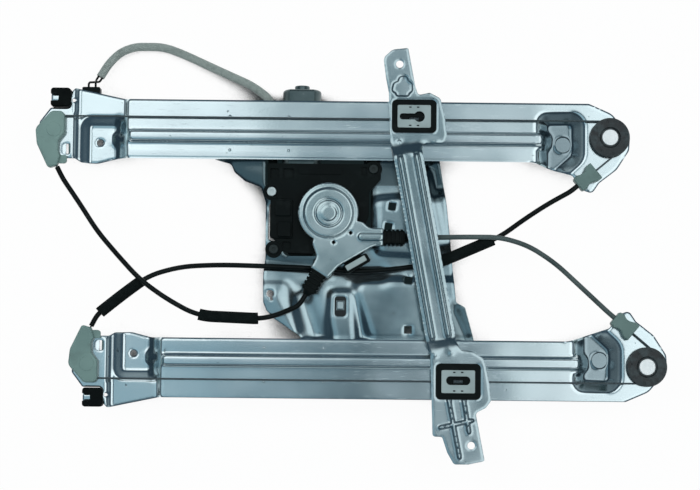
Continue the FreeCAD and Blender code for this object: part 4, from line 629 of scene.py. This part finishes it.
studioLook = dict(
    floorGap=1.0, floorSize=9.0,  # the gap in millimetres, the size in metres
    white=(0.9, 0.9, 0.9), rough=0.9,
    shadow=0.04,  # share of the lit floor that the camera sees
    # painted shadow: dark is the colour the camera sees on the floor where it is closed in under the part
    dark=(0.006, 0.012, 0.013),  # the floor right under the part
    farReach=0.3, farShade=(0.40, 0.48), nearReach=0.045, nearShade=(0.71, 0.81), samples=24,
    # the sky by height: skirt at the horizon, low above it, high overhead
    skirt=(0.40, 0.46, 0.48), skirtRise=(0.10, 0.44), low=(0.031, 0.060, 0.085),
    high=(1.22, 1.27, 1.29), rise=(0.70, 0.90),
    # the band runs along Y overhead, the corner is at the lower left
    bandPlace=0.027, bandSize=0.072, bandEdge=1.6, band=(0.17, 0.25, 0.29),
    cornerEdge=(0.035, 0.115), cornerEnd=(0.035, 0.075), cornerStart=(-0.09, 0.00),
    corner=(0.17, 0.245, 0.285), cornerLeft=(0.27, 0.37, 0.42),
    cloud=4.0, cloudSpan=(0.88, 1.08),
)


def makeStudio(look):
    low, high = cadBox
    middle = (low + high) / 2
    mesh = bmesh.new()
    bmesh.ops.create_grid(mesh, x_segments=1, y_segments=1, size=look["floorSize"] / 2)
    bmesh.ops.translate(mesh, verts=mesh.verts, vec=(middle.x, middle.y, low.z - look["floorGap"] * mm))
    floor = bpy.data.objects.new("floor", bpy.data.meshes.new("floor"))
    mesh.to_mesh(floor.data)
    mesh.free()
    bpy.context.scene.collection.objects.link(floor)
    f = Finish("floorWhite")
    f.surface(Base_Color=look["white"], Roughness=look["rough"])
    lit = Wire(f, f.shader.outputs[0])
    samples = {"samples": look["samples"]}
    # painted shadow: where ambient occlusion finds the floor closed in under the part, the white that the
    # camera sees turns dark
    far = f.node("ShaderNodeAmbientOcclusion", samples, {"Distance": look["farReach"]})[1]
    near = f.node("ShaderNodeAmbientOcclusion", samples, {"Distance": look["nearReach"]})[1]
    openness = f.maths("MAXIMUM", f.span(far, *look["farShade"]), f.span(near, *look["nearShade"]))
    colour = f.blend(openness, look["dark"], (1, 1, 1))
    paintedShadowFloor = f.node("ShaderNodeEmission", None, {"Color": colour, "Strength": 1.0})[0]
    direct = f.seenDirectly() * (1 - look["shadow"])
    shown = f.node("ShaderNodeMixShader", None, {0: direct, 1: lit, 2: paintedShadowFloor})[0]
    f.plug(f.end.inputs[0], shown)
    floor.data.materials.append(f.material)

    # a sky that is bright overhead but for a band and a corner, dark below and grey at the horizon
    scene = bpy.context.scene
    scene.world = scene.world or bpy.data.worlds.new("studio")
    w = Finish("studio", scene.world)
    way = w.node("ShaderNodeTexCoord")[0]
    x, y, z = w.apart(way)
    across = (x - look["bandPlace"]) * (1 / look["bandSize"])
    overhead = w.blend(w.easedSpan(across * across, 0.0, look["bandEdge"]), look["band"], look["high"])
    beyond = w.easedSpan(y, *look["cornerEdge"])
    rightward = w.easedSpan(x, *look["cornerEnd"])
    inward = w.easedSpan(x, *look["cornerStart"])
    corner = w.blend(inward, look["cornerLeft"], look["corner"])
    shade = w.blend(w.maths("MAXIMUM", beyond, rightward), corner, (1, 1, 1))
    overhead = w.blend(1.0, overhead, shade, "MULTIPLY")
    around = w.blend(w.easedSpan(z, *look["skirtRise"]), look["skirt"], look["low"])
    colour = w.blend(w.easedSpan(z, *look["rise"]), around, overhead)
    cloud = w.span(w.noise(look["cloud"], 2.0, way), *noiseRange, look["cloudSpan"])
    sky = w.node("ShaderNodeBackground", None, {0: colour, 1: cloud})[0]
    white = w.node("ShaderNodeBackground", None, {0: (1, 1, 1), 1: 1.0})[0]
    camera = w.node("ShaderNodeLightPath")[0]
    w.plug(w.end.inputs[0], w.node("ShaderNodeMixShader", None, {0: camera, 1: sky, 2: white})[0])


lampLooks = {
    "leftSoftbox": dict(place=(-650, 350, 1500), size=(900, 1300), aim=(150, 50, 0), watts=11),
    "rightSoftbox": dict(place=(1250, 250, 1500), size=(900, 1300), aim=(350, 0, 0), watts=9),
}


def makeLamp(name, look):
    lamp = bpy.data.lights.new(name, "AREA")
    lamp.shape = "RECTANGLE"
    lamp.size, lamp.size_y = look["size"][0] * mm, look["size"][1] * mm
    lamp.energy = look["watts"]
    holder = bpy.data.objects.new(name, lamp)
    place, aim = Vector(look["place"]) * mm, Vector(look["aim"]) * mm
    turn = (aim - place).to_track_quat("-Z", "Y").to_matrix().to_4x4()
    holder.matrix_world = Matrix.Translation(place) @ turn
    holder.visible_glossy = False
    bpy.context.scene.collection.objects.link(holder)


makeCamera(cameraLook)
makeStudio(studioLook)
for name, look in lampLooks.items():
    makeLamp(name, look)
bpy.context.scene.view_settings.view_transform = "Standard"
print("stage: camera, floor and lamps")
